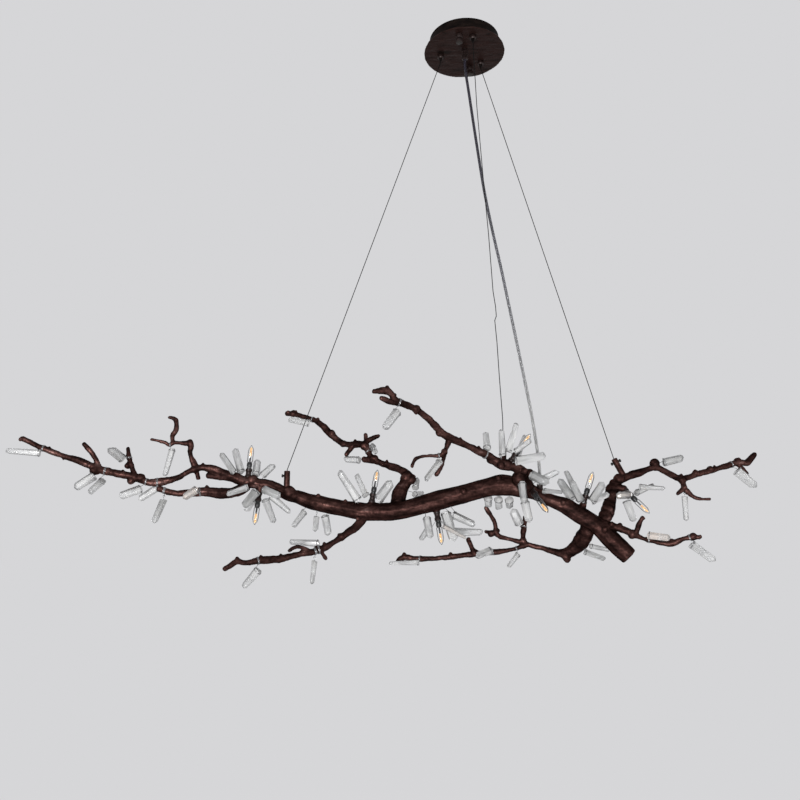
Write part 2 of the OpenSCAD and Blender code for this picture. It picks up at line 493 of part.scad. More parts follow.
// The driver and the terminal block lie on the plate, each in the gap between two grippers
inner_out = gripper_circle / 2 - 10;
driver_tab = 4;
module lamp_driver() color("white") translate(middle) rotate([0, 0, bracket_turn])
    translate([inner_out - driver_w / 2, -driver_l / 2, plate_z + plate_t]) union() {
        cube([driver_w, driver_l, driver_h]);
        for (y = [-driver_tab, driver_l]) translate([driver_tab, y, 0])
            cube([driver_w - 2 * driver_tab, driver_tab, 2]);
    }

block_turn = 214;
block_h = 11;
block_deep = 14;
wire_hole_d = 3.2;
module terminal_block() color("ivory") translate(middle) rotate([0, 0, block_turn])
    translate([inner_out, 0, plate_z + plate_t]) difference() {
        translate([-block_deep / 2, -block_w / 2, 0]) cube([block_deep, block_w, block_h]);
        for (k = [-1:1]) translate([0, k * block_w / 3, block_h / 2]) {
            rotate([0, 90, 0]) cylinder(d = wire_hole_d, h = block_deep + 2, center = true);
            cylinder(d = wire_hole_d - 0.2, h = block_h);
        }
    }

// ---- Posts, cables and cord ----
// Post: limb, place on it, direction, height of its top above the limb's middle line
POSTS = [[LEFT, [-336, 20, 13], [0, 0, 1], 42], [FORE, [51, -54, 61], [0.05, 0.2, 1], 31],
    [RIGHT, [285, 30, 44], [-0.45, 0.2, 1], 39]];
function post_foot(n) = foot(POSTS[n][0], POSTS[n][1]);
function post_way(n) = unit(POSTS[n][2]);
function post_top(n) = xyz(post_foot(n)) + post_way(n) * POSTS[n][3];
// Set screw: post, the side it comes in from, how far below the post's top
SCREWS = [[0, [-1, 0, 0], 9], [1, [0.3, 1, 0], 7], [2, [1, 0, 0], 7], [2, [-1, 0, 0], 7]];
function screw_post(k) = SCREWS[k][0];
// A set screw stands square to its post
function screw_way(k) = let (w = post_way(screw_post(k))) unit(SCREWS[k][1] - w * (SCREWS[k][1] * w));
function screw_at(k) = post_top(screw_post(k)) - post_way(screw_post(k)) * SCREWS[k][2];
post_bore = 14;
screw_l = 6;

module at_trunk() translate([0, 0, -drop]) children();

module cable_posts() color(bronze) at_trunk() for (n = [0:2]) {
    low = post_foot(n)[3] / 2 - bite;
    difference() {
        along(xyz(post_foot(n)) + post_way(n) * low, post_way(n)) cylinder(d = post_d, h = POSTS[n][3] - low);
        along(post_top(n) - post_way(n) * post_bore, post_way(n)) cylinder(d = cable_hole_d, h = post_bore + 1);
        for (k = [0:3]) if (screw_post(k) == n)
            along(screw_at(k), screw_way(k)) cylinder(d = set_screw_d + 2 * running, h = post_d);
    }
}

module set_screw(k) color("black") at_trunk()
    along(screw_at(k) + screw_way(k) * (cable_hole_d / 2 + seat), screw_way(k)) difference() {
        union() {
            cylinder(d = set_screw_d, h = screw_l);
            translate([0, 0, screw_l]) cylinder(d = set_screw_d + 2, h = 2.4);
        }
        translate([0, 0, screw_l]) cylinder(d = 2.4, h = 3, $fn = 6);
    }
module set_screw_a() set_screw(0);
module set_screw_b() set_screw(1);
module set_screw_c() set_screw(2);
module set_screw_d() set_screw(3);

cable_start = plate_z + plate_t;
nose_end = plate_z - gripper_h - nose_out;
function cable_top(n) = let (g = gripper_at(n))
    [[g[0], g[1], cable_start, cable_d], [g[0], g[1], nose_end - nose_travel - 1, cable_d]];
function cable_end(n) = let (p = post_top(n) - [0, 0, drop], w = post_way(n))
    [[each (p + w * 2), cable_d], [each (p - w * (post_bore - 2)), cable_d]];
module cable(n, kinks = []) color(steel)
    tube(concat(cable_top(n), [for (k = kinks) [each k, cable_d]], cable_end(n)), 8);

// Cable B has a few kinks from its packing
CABLE_B_KINKS = [[17, -56, -180], [29, -55, -366], [34, -54, -434], [40, -54, -546], [44, -53, -574],
    [45, -53, -592], [42, -53, -600], [45, -53, -640], [48, -52, -705], [52, -52, -780]];
module cable_a() cable(0);
module cable_b() cable(1, CABLE_B_KINKS);
module cable_c() cable(2);

// Power cord: straight out of the gland, a slack line down, and into the bush on the trunk
bush_at = [121, -12, 8];
bush_d = 11;
bush_top = 30;
CORD = [[0, -12, -70], [6, -13, -120], [18, -14, -220], [32, -16, -330], [46, -19, -415], [60, -22, -490],
    [72, -24, -560], [84, -26, -630], [96, -27, -700], [107, -27, -765], [114, -25, -815],
    [119, -20, -855], [121, -14, -878]];
cord_head = [[gland_at[0], gland_at[1], plate_z + plate_t + 4], [gland_at[0], gland_at[1], plate_z - gland_h]];
cord_tail = [[bush_at[0], bush_at[1], bush_top + 4 - drop], [bush_at[0], bush_at[1], bush_top - 8 - drop]];
module power_cord() color([0.75, 0.78, 0.82, 0.8])
    tube([for (p = smooth(concat(cord_head, CORD, cord_tail), 2)) [each p, cord_d]], 8);

module cord_bush() color(bronze) at_trunk() translate(bush_at) difference() {
    cylinder(d = bush_d, h = bush_top - bush_at[2]);
    translate([0, 0, bush_top - bush_at[2] - 9]) cylinder(d = cord_hole_d, h = 10);
}

// ---- Limbs ----
module nub(n) {
    f = lamp_foot(n);
    hull() {
        along(xyz(f), lamp_way(n)) cylinder(d = holder_d + 3, h = 1);
        along(holder_foot(n), lamp_way(n)) translate([0, 0, bite / 2 - 1]) cylinder(d = holder_d - 1, h = 1);
    }
}

module trunk() color(bronze) at_trunk() union() {
    tube(TRUNK, 12);
    for (n = [2, 3, 6]) nub(n);
    for (k = [[-276, 4, 14, 9], [-226, -2, 8, 9], [-18, -40, 18, 11], [44, -40, 50, 14], [160, -40, -2, 10],
        [228, -50, -50, 12]]) knot(TRUNK, xyz(k), k[3]);
}

module left_branch() color(bronze) at_trunk() union() {
    branch(LEFT, 8);
    for (s = [LEFT_STUB, LEFT_LOW, LEFT_TWIG_1, LEFT_TWIG_2, LEFT_RISER, LEFT_RISER_ARM, LEFT_RISER_TIP])
        branch(s, 8);
    nub(1);
    for (k = [[-745, -40, 98, 6], [-728, -36, 60, 6], [-678, -40, 58, 7], [-669, -24, 40, 7],
        [-624, -12, 60, 6], [-488, 8, 80, 7]]) knot(LEFT, xyz(k), k[3]);
    knot(LEFT, [-796, -60, 100], 8);
    knot(LEFT_TWIG_2, [-626, -10, 66], 5);
    knot(LEFT_LOW, [-474, -10, 30], 8);
    knot(LEFT_RISER, [-516, -3, 106], 7);
}

module lower_left_branch() color(bronze) at_trunk() union() {
    branch(LOW_LEFT, 8);
    for (s = [LOW_LEFT_LOOP, LOW_LEFT_PRONG]) branch(s, 8);
    for (k = [[-206, -10, -30, 9], [-240, -26, -54, 8], [-263, -38, -70, 8], [-298, -54, -80, 7],
        [-331, -70, -88, 7], [-361, -86, -90, 7], [-396, -104, -94, 7], [-408, -120, -112, 7]])
        knot(LOW_LEFT, xyz(k), k[3]);
}

module rear_branch() color(bronze) at_trunk() union() {
    branch(REAR, 10);
    for (s = [REAR_FORK_1, REAR_FORK_2, REAR_HOOK, REAR_STUB]) branch(s, 8);
    for (k = [[-100, 20, 44, 12], [-151, 46, 86, 8], [-180, 68, 100, 9], [-216, 84, 126, 9],
        [-258, 104, 146, 8], [-290, 118, 172, 9], [-337, 138, 196, 9], [-357, 138, 188, 7]])
        knot(REAR, xyz(k), k[3]);
}

module fore_branch() color(bronze) at_trunk() union() {
    branch(FORE, 10);
    for (s = [FORE_PRONG, FORE_ARM, FORE_ARM_TIP]) branch(s, 8);
    for (k = [[45, -70, 54, 17], [90, -56, 48, 15], [8, -74, 92, 8], [-25, -92, 104, 7],
        [-104, -140, 132, 8], [-134, -154, 166, 7], [-150, -162, 180, 9]]) knot(FORE, xyz(k), k[3]);
    knot(FORE_ARM, [-56, -118, 76], 8);
}

module right_branch() color(bronze) at_trunk() union() {
    branch(RIGHT, 10);
    for (s = [RIGHT_PRONG, RIGHT_DOWN, RIGHT_DOWN_1, RIGHT_DOWN_2, RIGHT_TIP]) branch(s, 8);
    for (k = [[347, 44, 80, 14], [244, 8, 12, 10], [278, 16, 44, 12], [400, 58, 56, 9], [428, 64, 62, 8],
        [470, 74, 74, 8], [524, 86, 88, 8]]) knot(RIGHT, xyz(k), k[3]);
    knot(RIGHT_DOWN, [402, 46, 28], 8);
}

module right_twig() color(bronze) at_trunk() union() {
    branch(RIGHT_TWIG, 8);
    branch(RIGHT_BUD, 8);
    for (k = [[282, -34, -54, 9], [309, -42, -60, 8], [335, -48, -62, 8], [258, -27, -38, 10],
        [372, -58, -50, 7], [380, -70, -60, 7], [240, -34, -40, 12]])
        knot(RIGHT_TWIG, xyz(k), k[3]);
    knot(RIGHT_BUD, [296, -42, -34], 6);
}

module lower_right_branch() color(bronze) at_trunk() union() {
    branch(LOW_RIGHT, 10);
    for (s = [LOW_RIGHT_PRONG, LOW_RIGHT_SPUR, LOW_RIGHT_LONG, LOW_RIGHT_LINK]) branch(s, 8);
    for (k = [[104, 62, -66, 9], [54, 52, -52, 8], [176, 40, -110, 20]])
        knot(LOW_RIGHT, xyz(k), k[3]);
    for (k = [[12, 84, -86, 9], [-34, 96, -92, 8], [-121, 116, -94, 8]])
        knot(LOW_RIGHT_LONG, xyz(k), k[3]);
    knot(LOW_RIGHT_SPUR, [98, 66, -44], 6);
    knot(LOW_RIGHT_LINK, [0, 70, -68], 8);
}

// ---- Lamp parts ----
module lamp_holders() color(bronze) at_trunk() for (n = [0:len(LAMPS) - 1])
    along(holder_foot(n), lamp_way(n)) difference() {
        union() {
            cylinder(d = holder_d - 2, h = holder_h);
            cylinder(d = holder_d, h = 4);
            translate([0, 0, holder_h - 5]) cylinder(d = holder_d, h = 5);
        }
        translate([0, 0, holder_h - socket_deep]) cylinder(d = socket_d + 2 * running, h = socket_deep + 1);
    }

module lamp_sockets() color("black") at_trunk() for (n = [0:len(LAMPS) - 1])
    along(holder_foot(n), lamp_way(n)) difference() {
        translate([0, 0, holder_h - socket_deep]) cylinder(d = socket_d, h = socket_deep + socket_proud);
        for (s = [-1, 1]) translate([s * pin_pitch / 2, 0, socket_face - lamp_pin_l - 1])
            cylinder(d = lamp_pin_d + 2 * running, h = lamp_pin_l + 2, $fn = 16);
    }

// Outline of the glass: a straight capsule drawn to a small point
function glass(r, l) = [[r, 0], [r, l * 0.62], [r * 0.86, l * 0.74], [r * 0.55, l * 0.88],
    [r * 0.22, l * 0.97], [0, l]];
module bulb(n) at_trunk() along(holder_foot(n) + lamp_way(n) * lamp_seat, lamp_way(n)) {
    glass_l = lamp_l - lamp_base_h;
    color("black") cylinder(d = lamp_d - 1, h = lamp_base_h);
    color("silver") for (s = [-1, 1]) translate([s * pin_pitch / 2, 0, -lamp_pin_l - seat])
        cylinder(d = lamp_pin_d, h = lamp_pin_l + seat, $fn = 16);
    color([0.9, 0.92, 0.95, 0.5]) translate([0, 0, lamp_base_h]) rotate_extrude() difference() {
        polygon(concat([[0, 0]], glass(lamp_d / 2, glass_l)));
        polygon(concat([[0, -1], [lamp_d / 2 - lamp_wall, -1]], glass(lamp_d / 2 - lamp_wall, glass_l - 2)));
    }
    color("gold") translate([-1.6, -1.6, lamp_base_h]) cube([3.2, 3.2, glass_l * 0.66]);
}
module bulb_1() bulb(0);
module bulb_2() bulb(1);
module bulb_3() bulb(2);
module bulb_4() bulb(3);
module bulb_5() bulb(4);
module bulb_6() bulb(5);
module bulb_7() bulb(6);
module bulb_8() bulb(7);

// ---- Crystals and their wires ----
module crystals(group) color(quartz) at_trunk() for (c = group) crystal(c);
module left_crystals() crystals(LEFT_CRYSTALS);
module left_cluster() crystals(LEFT_CLUSTER);
module low_left_crystals() crystals(LOW_LEFT_CRYSTALS);
module rear_crystals() crystals(REAR_CRYSTALS);
module mid_cluster() crystals(MID_CLUSTER);
module fore_crystals() crystals(FORE_CRYSTALS);
module low_cluster() crystals(LOW_CLUSTER);
module top_cluster() crystals(TOP_CLUSTER);
module neck_cluster() crystals(NECK_CLUSTER);
module right_cluster() crystals(RIGHT_CLUSTER);
module end_cluster() crystals(END_CLUSTER);
module right_crystals() crystals(RIGHT_CRYSTALS);
module low_right_crystals() crystals(LOW_RIGHT_CRYSTALS);
module crystal_wires() color(steel) at_trunk() {
    for (group = CRYSTAL_GROUPS) for (c = group) crystal_wire(c);
    for (c = HUNG) crystal_hook(c);
}
module drop_crystal_1() color(quartz) at_trunk() hung_crystal(HUNG[0]);
module drop_crystal_2() color(quartz) at_trunk() hung_crystal(HUNG[1]);
module drop_crystal_3() color(quartz) at_trunk() hung_crystal(HUNG[2]);
module drop_crystal_4() color(quartz) at_trunk() hung_crystal(HUNG[3]);

ceiling_bracket();
bracket_studs();
canopy_drum();
canopy_plate();
cap_nut_front();
cap_nut_rear();
cord_gland();
gland_nut();
gripper_bodies();
gripper_nose_a();
gripper_nose_b();
gripper_nose_c();
lamp_driver();
terminal_block();
cable_a();
cable_b();
cable_c();
power_cord();
trunk();
left_branch();
lower_left_branch();
rear_branch();
fore_branch();
right_branch();
right_twig();
lower_right_branch();
cable_posts();
set_screw_a();
set_screw_b();
set_screw_c();
set_screw_d();
cord_bush();
lamp_holders();
lamp_sockets();
bulb_1();
bulb_2();
bulb_3();
bulb_4();
bulb_5();
bulb_6();
bulb_7();
bulb_8();
left_crystals();
left_cluster();
low_left_crystals();
rear_crystals();
mid_cluster();
fore_crystals();
low_cluster();
top_cluster();
neck_cluster();
right_cluster();
end_cluster();
right_crystals();
low_right_crystals();
crystal_wires();
drop_crystal_1();
drop_crystal_2();
drop_crystal_3();
drop_crystal_4();
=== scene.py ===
# %% [markdown]
# # A branch chandelier, dressed in Blender
# The real object is a ceiling light: a crooked forged branch hangs level on three steel cables
# under a round hammered canopy. Natural quartz points are wired on to it, and eight small
# capsule lamps stand or hang among them. The solids come ready made, in metres, in one fixed
# frame. This lesson keeps their places and gives each one the surface that the real piece has.

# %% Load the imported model
import json
import math

import bmesh
import bpy
import numpy as np
from mathutils import Matrix, Vector, noise
from mathutils.bvhtree import BVHTree


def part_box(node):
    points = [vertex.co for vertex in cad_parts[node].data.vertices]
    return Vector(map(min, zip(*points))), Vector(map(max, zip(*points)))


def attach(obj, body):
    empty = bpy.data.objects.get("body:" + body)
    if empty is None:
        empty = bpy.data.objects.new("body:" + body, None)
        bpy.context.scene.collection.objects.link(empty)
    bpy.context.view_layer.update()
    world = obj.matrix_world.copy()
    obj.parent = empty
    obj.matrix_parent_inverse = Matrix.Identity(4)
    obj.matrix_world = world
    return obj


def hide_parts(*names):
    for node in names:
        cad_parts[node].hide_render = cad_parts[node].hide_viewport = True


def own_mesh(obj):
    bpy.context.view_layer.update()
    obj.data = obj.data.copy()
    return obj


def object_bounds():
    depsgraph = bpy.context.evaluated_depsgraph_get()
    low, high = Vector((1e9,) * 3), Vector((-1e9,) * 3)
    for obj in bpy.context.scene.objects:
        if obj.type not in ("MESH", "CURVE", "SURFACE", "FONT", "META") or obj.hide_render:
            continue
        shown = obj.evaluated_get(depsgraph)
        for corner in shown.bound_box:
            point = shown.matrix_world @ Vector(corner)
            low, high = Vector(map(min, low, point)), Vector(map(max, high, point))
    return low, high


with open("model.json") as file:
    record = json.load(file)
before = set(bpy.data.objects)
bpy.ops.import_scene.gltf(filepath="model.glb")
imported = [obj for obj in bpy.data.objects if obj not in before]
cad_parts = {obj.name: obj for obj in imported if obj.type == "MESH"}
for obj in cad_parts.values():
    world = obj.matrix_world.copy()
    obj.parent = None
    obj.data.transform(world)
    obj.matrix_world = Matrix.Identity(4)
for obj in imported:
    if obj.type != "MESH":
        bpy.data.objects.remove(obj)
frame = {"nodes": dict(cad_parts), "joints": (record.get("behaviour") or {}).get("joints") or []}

solids = frame["nodes"]
joints = {j["name"]: j for j in frame["joints"]}
solid_box = [list(map(float, corner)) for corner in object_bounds()]


def put(name, data):
    """Makes an object of the data and sets it in the scene."""
    made = bpy.data.objects.new(name, data)
    bpy.context.scene.collection.objects.link(made)
    return made


def compass(turn, height=0, radius=1):
    """The point at a turn round the upright axis."""
    return Vector((radius * math.cos(turn), radius * math.sin(turn), height))


def middle_foot(node):
    """The middle of the underside of a solid's box."""
    low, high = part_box(node)
    return Vector(((low.x + high.x) / 2, (low.y + high.y) / 2, low.z))


print("solids:", len(solids), "box:", solid_box)

# %% [markdown]
# ## The camera
# The photograph was taken from a little below the branch and to the left of its middle, looking
# slightly up. A lens of about 35 mm at 1.4 m gives the same spread between the near twigs and the
# far ones. A longer lens from further off would flatten the branch, so the near distance is kept.

# %% Camera
camera_data = bpy.data.cameras.new("camera")
camera_data.sensor_width = 36
camera_data.lens = 34.65
camera = put("camera", camera_data)
camera.location = (-0.129, -1.393, -0.9945)
camera.rotation_euler = (math.radians(90 + 10.5), 0, 0)
bpy.context.scene.camera = camera
print("camera at", tuple(camera.location), "lens", camera_data.lens)

# %% [markdown]
# ## Small helpers for materials
# Every finish below is a tree of nodes. The helpers keep the trees short: finish makes a material
# with its main shader, speckle and cells give patterns measured in metres, ramp turns a pattern
# into values or colours, and drive lets the result set one input of the shader.

# %% Material helpers
def shader_of(material):
    return material.node_tree.nodes["Principled BSDF"]


def finish(name, color, roughness, metallic=0.0, **inputs):
    material = bpy.data.materials.new(name)
    material.use_nodes = True
    inputs.update(base_color=(*color, 1), roughness=roughness, metallic=metallic)
    for key, value in inputs.items():
        socket = key.replace("_", " ").title().replace("Ior", "IOR")
        shader_of(material).inputs[socket].default_value = value
    return material


def join(material, start, end):
    material.node_tree.links.new(start, end)


def add(material, kind, inputs=(), **settings):
    """A node. Each input given takes a value, or a link where it is given another node's output."""
    node = material.node_tree.nodes.new("ShaderNode" + kind)
    for key, value in settings.items():
        setattr(node, key, value)
    for key, value in dict(inputs).items():
        if hasattr(value, "is_linked"):
            join(material, value, node.inputs[key])
        else:
            node.inputs[key].default_value = value
    return node


def place(material):
    return add(material, "TexCoord").outputs["Object"]


def speckle(material, size, detail=4, rough=0.55, stretch=(1, 1, 1), warp=0.0, at=None):
    """Noise on the place in the whole light, or on another place."""
    spread = add(material, "Mapping", {"Scale": stretch, "Vector": at or place(material)})
    return add(material, "TexNoise", {
        "Scale": 1 / size, "Detail": detail, "Roughness": rough, "Distortion": warp,
        "Vector": spread.outputs[0]}).outputs["Fac"]


def cells(material, size, feature="F1"):
    return add(material, "TexVoronoi", {"Scale": 1 / size, "Vector": place(material)},
               feature=feature).outputs["Distance"]


def ramp(material, source, *stops):
    band = add(material, "ValToRGB")
    while len(band.color_ramp.elements) < len(stops):
        band.color_ramp.elements.new(0.5)
    for element, (at, color) in zip(band.color_ramp.elements, stops):
        element.position = at
        element.color = (*color, 1) if hasattr(color, "__len__") else (color, color, color, 1)
    join(material, source, band.inputs[0])
    return band.outputs[0]


def drive(material, socket, source, *stops):
    """A pattern sets an input of the shader, through a ramp where stops are given."""
    if stops:
        source = ramp(material, source, *stops)
    join(material, source, shader_of(material).inputs[socket])


def times(material, source, factor):
    return add(material, "Math", {0: source, 1: factor}, operation="MULTIPLY").outputs[0]


def mix(material, kind, share, a, b):
    return add(material, "Mix", {0: share, 6: a, 7: b}, data_type="RGBA",
               blend_type=kind).outputs[2]


def bumps(material, height, depth, strength=1.0, under=None):
    bump = add(material, "Bump", {"Distance": depth, "Strength": strength, "Height": height})
    if under is not None:
        join(material, under, bump.inputs["Normal"])
    drive(material, "Normal", bump.outputs[0])
    return bump.outputs[0]


def slant(material, blend, *stops):
    """A value that changes where clear material is seen at a slant, for painted shade on the rims
    of glass.
    """
    facing = add(material, "LayerWeight", {"Blend": blend})
    return ramp(material, facing.outputs["Facing"], *stops)


def scuffed(name, color, roughness, metallic, size, detail, low, high, **inputs):
    """A finish with worn spots of the given size, and a roughness between low and high."""
    material = finish(name, color, roughness, metallic, **inputs)
    drive(material, "Roughness", speckle(material, size, detail), (0.3, low), (0.8, high))
    return material


def seen(material):
    """1 for the rays of the camera, gloss and glass, and 0 for the light that falls on things."""
    path = add(material, "LightPath")
    total = path.outputs["Is Camera Ray"]
    for kind in ("Is Glossy Ray", "Is Transmission Ray"):
        total = add(material, "Math", {0: total, 1: path.outputs[kind]},
                    operation="MAXIMUM").outputs[0]
    return total


print("helpers ready")

# %% [markdown]
# ## Helpers for shapes
# Most small parts of the light were turned on a lathe, so one helper spins an outline round an
# axis. Cords and cables are swept round a path. Each piece is then seated: it rides on the body
# that carries it, and it may stand for one of the plain solids.

# %% Shape helpers
def piece(name, points, faces, material, smooth=True, angle=40):
    mesh = bpy.data.meshes.new(name)
    mesh.from_pydata([tuple(p) for p in points], [], faces)
    mesh.update()
    mesh.materials.append(material)
    if smooth:
        mesh.shade_smooth()
        mesh.set_sharp_from_angle(angle=math.radians(angle))
    return put(name, mesh)


def seat(made, body, slot, *stands_for):
    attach(made, body)
    if stands_for:
        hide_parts(*stands_for)


def paint(made, material):
    made.data.materials.clear()
    made.data.materials.append(material)


def baked(made):
    """Applies the modifiers of a piece."""
    bpy.context.view_layer.update()
    shape = made.evaluated_get(bpy.context.evaluated_depsgraph_get())
    mesh = bpy.data.meshes.new_from_object(shape)
    made.modifiers.clear()
    made.data = mesh
    return made


def turn_to(way):
    return Vector(way).normalized().to_track_quat("Z", "Y").to_matrix()


def quads(rings, sides):
    """Faces between neighbouring rings of points."""
    return [(i * sides + k, i * sides + (k + 1) % sides,
             (i + 1) * sides + (k + 1) % sides, (i + 1) * sides + k)
            for i in range(rings - 1) for k in range(sides)]


UP = (0, 0, 1)
TOUCHING = 1e-6
SQUARE = ((-1, -1), (1, -1), (1, 1), (-1, 1))


def turned(name, outline, at, way, material, sides=48, wave=None):
    """Spins (radius, height) pairs round the axis. wave(turn, height) changes a radius."""
    spin = turn_to(way)
    points, faces = [], quads(len(outline), sides)
    for r, h in outline:
        for k in range(sides):
            a = math.tau * k / sides
            points.append(Vector(at) + spin @ compass(a, h, r * (wave(a, h) if wave else 1)))
    if outline[0] != outline[-1]:
        if outline[0][0] > TOUCHING:
            faces.append(tuple(range(sides - 1, -1, -1)))
        if outline[-1][0] > TOUCHING:
            faces.append(tuple((len(outline) - 1) * sides + k for k in range(sides)))
    made = piece(name, points, faces, material)
    fuse(made)
    return made


def fuse(made):
    work = bmesh.new()
    work.from_mesh(made.data)
    bmesh.ops.remove_doubles(work, verts=work.verts, dist=TOUCHING)
    bmesh.ops.recalc_face_normals(work, faces=work.faces)
    work.to_mesh(made.data)
    work.free()


def eased(outline, r=0.0004):
    """Cuts each corner of an outline, so that its edge catches light."""
    soft = [outline[0]]
    for before, here, after in zip(outline, outline[1:], outline[2:]):
        a, b, c = Vector(before), Vector(here), Vector(after)
        cut = min(r, (a - b).length * 0.4, (c - b).length * 0.4)
        if cut < TOUCHING:
            soft.append(here)
            continue
        soft.append(tuple(b + (a - b).normalized() * cut))
        soft.append(tuple(b + (c - b).normalized() * cut))
    return soft + [outline[-1]]


def joined(name, made):
    for o in bpy.context.selected_objects:
        o.select_set(False)
    for o in made:
        o.select_set(True)
    bpy.context.view_layer.objects.active = made[0]
    bpy.ops.object.join()
    made[0].name = name
    return made[0]


def mm(*outline):
    """An outline given in millimetres."""
    return [(r / 1000, h / 1000) for r, h in outline]


def repeated(count, pitch, *profile):
    """The (radius, height) pairs of a rib or thread, repeated along the axis."""
    return [(r, h + pitch * k) for k in range(count) for r, h in profile]


def knurl(count, depth, low, high, level=0):
    """A wave for turned: grooves round the part, between two heights."""
    return lambda a, h: 1 - depth * (math.cos(count * a) > level) * (low < h < high)


print("shape helpers ready")

# %% [markdown]
# ## The three steel cables
# Each cable is a 1.5 mm rope of six strands round a core. It comes straight out of its gripper and
# runs in one taut line to a post on the branch. The middle one kept a few kinks from its packing.
# A smooth tube would shine like wire, so the strands are modelled: six lobes twist along the path.
# The fixture can be raised by 0.4 m.

# %% Smooth lines and swept tubes
def bend(a, b, c, d, t):
    return (2 * b + (c - a) * t + (2 * a - 5 * b + 4 * c - d) * t * t
            + (3 * b - a - 3 * c + d) * t * t * t) / 2


def smooth_line(points, steps):
    p = [Vector(q) for q in points]
    line = [bend(p[max(i - 1, 0)], p[i], p[i + 1], p[min(i + 2, len(p) - 1)], k / steps)
            for i in range(len(p) - 1) for k in range(steps)]
    return line + [p[-1]]


def stretched(points, gap):
    """The same line with a point at least every gap."""
    line = [Vector(points[0])]
    for a, b in zip(points, points[1:]):
        n = max(1, math.ceil((Vector(b) - Vector(a)).length / gap))
        line += [Vector(a).lerp(Vector(b), (k + 1) / n) for k in range(n)]
    return line


def swept(name, line, radius, material, sides=12, lobes=0, lay=0.011, depth=0.1, shift=0.0,
          turn=0.0):
    """A tube round the line. Lobes make it a twisted rope, and shift winds it round the line."""
    points, faces = [], quads(len(line), sides)
    side = Vector((0, 1, 0))
    run = 0.0
    for i, p in enumerate(line):
        way = (line[min(i + 1, len(line) - 1)] - line[max(i - 1, 0)]).normalized()
        u = way.cross(side).normalized()
        v = way.cross(u)
        if i:
            run += (p - line[i - 1]).length
        twist = math.tau * run / lay + turn
        middle = p + (u * math.cos(twist) + v * math.sin(twist)) * shift
        for k in range(sides):
            a = math.tau * k / sides
            r = radius
            if lobes:
                r = radius * (1 - depth + depth * abs(math.cos(lobes / 2 * (a + twist))))
            points.append(middle + (u * math.cos(a) + v * math.sin(a)) * r)
    faces.append(tuple(range(sides - 1, -1, -1)))
    faces.append(tuple((len(line) - 1) * sides + k for k in range(sides)))
    made = piece(name, points, faces, material, angle=60)
    fuse(made)
    return made


print("line helpers ready")

# %% Dark rope finish
rope_steel = finish("rope_steel", (0.03, 0.03, 0.032), 0.5, 0.2, specular_ior_level=0.05)
wear = speckle(rope_steel, 0.004, 3)
drive(rope_steel, "Base Color", wear, (0.3, 0.004), (0.75, 0.014))
drive(rope_steel, "Roughness", wear, (0.3, 0.3), (0.8, 0.55))
print("made", rope_steel.name)

# %% The cables
CABLE_D = 0.0015
CABLE_TOP = -0.026
MIDDLE = Vector((0, -0.009, 0))
GRIPPER_REACH = 0.049
GRIPPERS = {k: MIDDLE + GRIPPER_REACH * compass(math.radians(a))
            for k, a in (("a", 164), ("b", -76), ("c", 44))}
POST_TOPS = {"a": ((-0.336, 0.02, -0.865), (0, 0, 1)),
             "b": ((0.05235, -0.04795, -0.82966), (0.05, 0.2, 1)),
             "c": ((0.26947, 0.03678, -0.84136), (-0.45, 0.2, 1))}
KINKS = [(17, -56, -180), (29, -55, -366), (34, -54, -434), (40, -54, -546), (44, -53, -574),
         (45, -53, -592), (42, -53, -600), (45, -53, -640), (48, -52, -705), (52, -52, -780)]
for k, (top, way) in POST_TOPS.items():
    top, way = Vector(top), Vector(way).normalized()
    g = GRIPPERS[k]
    knots = [Vector((g.x, g.y, CABLE_TOP)), Vector((g.x, g.y, -0.045))]
    knots += [Vector(p) / 1000 for p in KINKS] if k == "b" else []
    knots += [top + way * 0.002, top - way * 0.012]
    line = stretched(knots, 0.0012)
    rope = swept(f"cable_{k}_rope", line, CABLE_D / 2, rope_steel, sides=18, lobes=6, depth=0.16)
    seat(rope, "canopy", "cable", f"cable_{k}")
    reach = CABLE_TOP - line[-1].z
    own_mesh(rope)

# %% [markdown]
# ## The power cord
# The cord is a clear round sheath, 5.6 mm across, with three grey cores that twist slowly inside.
# It leaves the gland straight down, hangs a little slack and enters a bush on the branch. A grey
# tube would hide the cores, so the sheath is clear and the cores are real strands inside it.

# %% Clear sheath and grey core finishes
def by_height(material, *stops):
    """A colour that changes with the distance below the ceiling, in metres."""
    level = add(material, "SeparateXYZ", {0: place(material)})
    return ramp(material, times(material, level.outputs["Z"], -1), *stops)


clear_sheath = finish("clear_sheath", (0.8, 0.83, 0.87), 0.12, ior=1.33,
                      transmission_weight=0.86, specular_ior_level=0.25)
haze = speckle(clear_sheath, 0.03, 3, stretch=(1, 1, 0.25))
drive(clear_sheath, "Roughness", haze, (0.3, 0.08), (0.8, 0.3))
# Painted shade: the sheath darkens at its rims, where it is seen at a slant.
rim = slant(clear_sheath, 0.5, (0.25, 1.0), (0.7, 0.35))
# Painted shade: the sheath is darker near the canopy and lighter lower down.
sheath_painted_shade = by_height(clear_sheath, (0.08, (0.22, 0.2, 0.26)), (0.25, (0.24, 0.23, 0.28)),
                  (0.5, (0.62, 0.62, 0.66)), (0.78, (0.92, 0.92, 0.92)))
drive(clear_sheath, "Base Color", mix(clear_sheath, "MULTIPLY", 1.0, sheath_painted_shade, rim))
grey_core = finish("grey_core", (0.3, 0.31, 0.335), 0.45)
# Painted shade: the cores are darker near the canopy and lighter lower down.
core_painted_shade = by_height(grey_core, (0.05, (0.052, 0.046, 0.066)), (0.16, (0.05, 0.046, 0.06)),
                 (0.42, (0.18, 0.18, 0.19)), (0.75, (0.48, 0.48, 0.48)))
rub = ramp(grey_core, speckle(grey_core, 0.012, 3), (0.3, 0.75), (0.8, 1.25))
drive(grey_core, "Base Color", mix(grey_core, "MULTIPLY", 1.0, core_painted_shade, rub))
print("made", clear_sheath.name, grey_core.name)

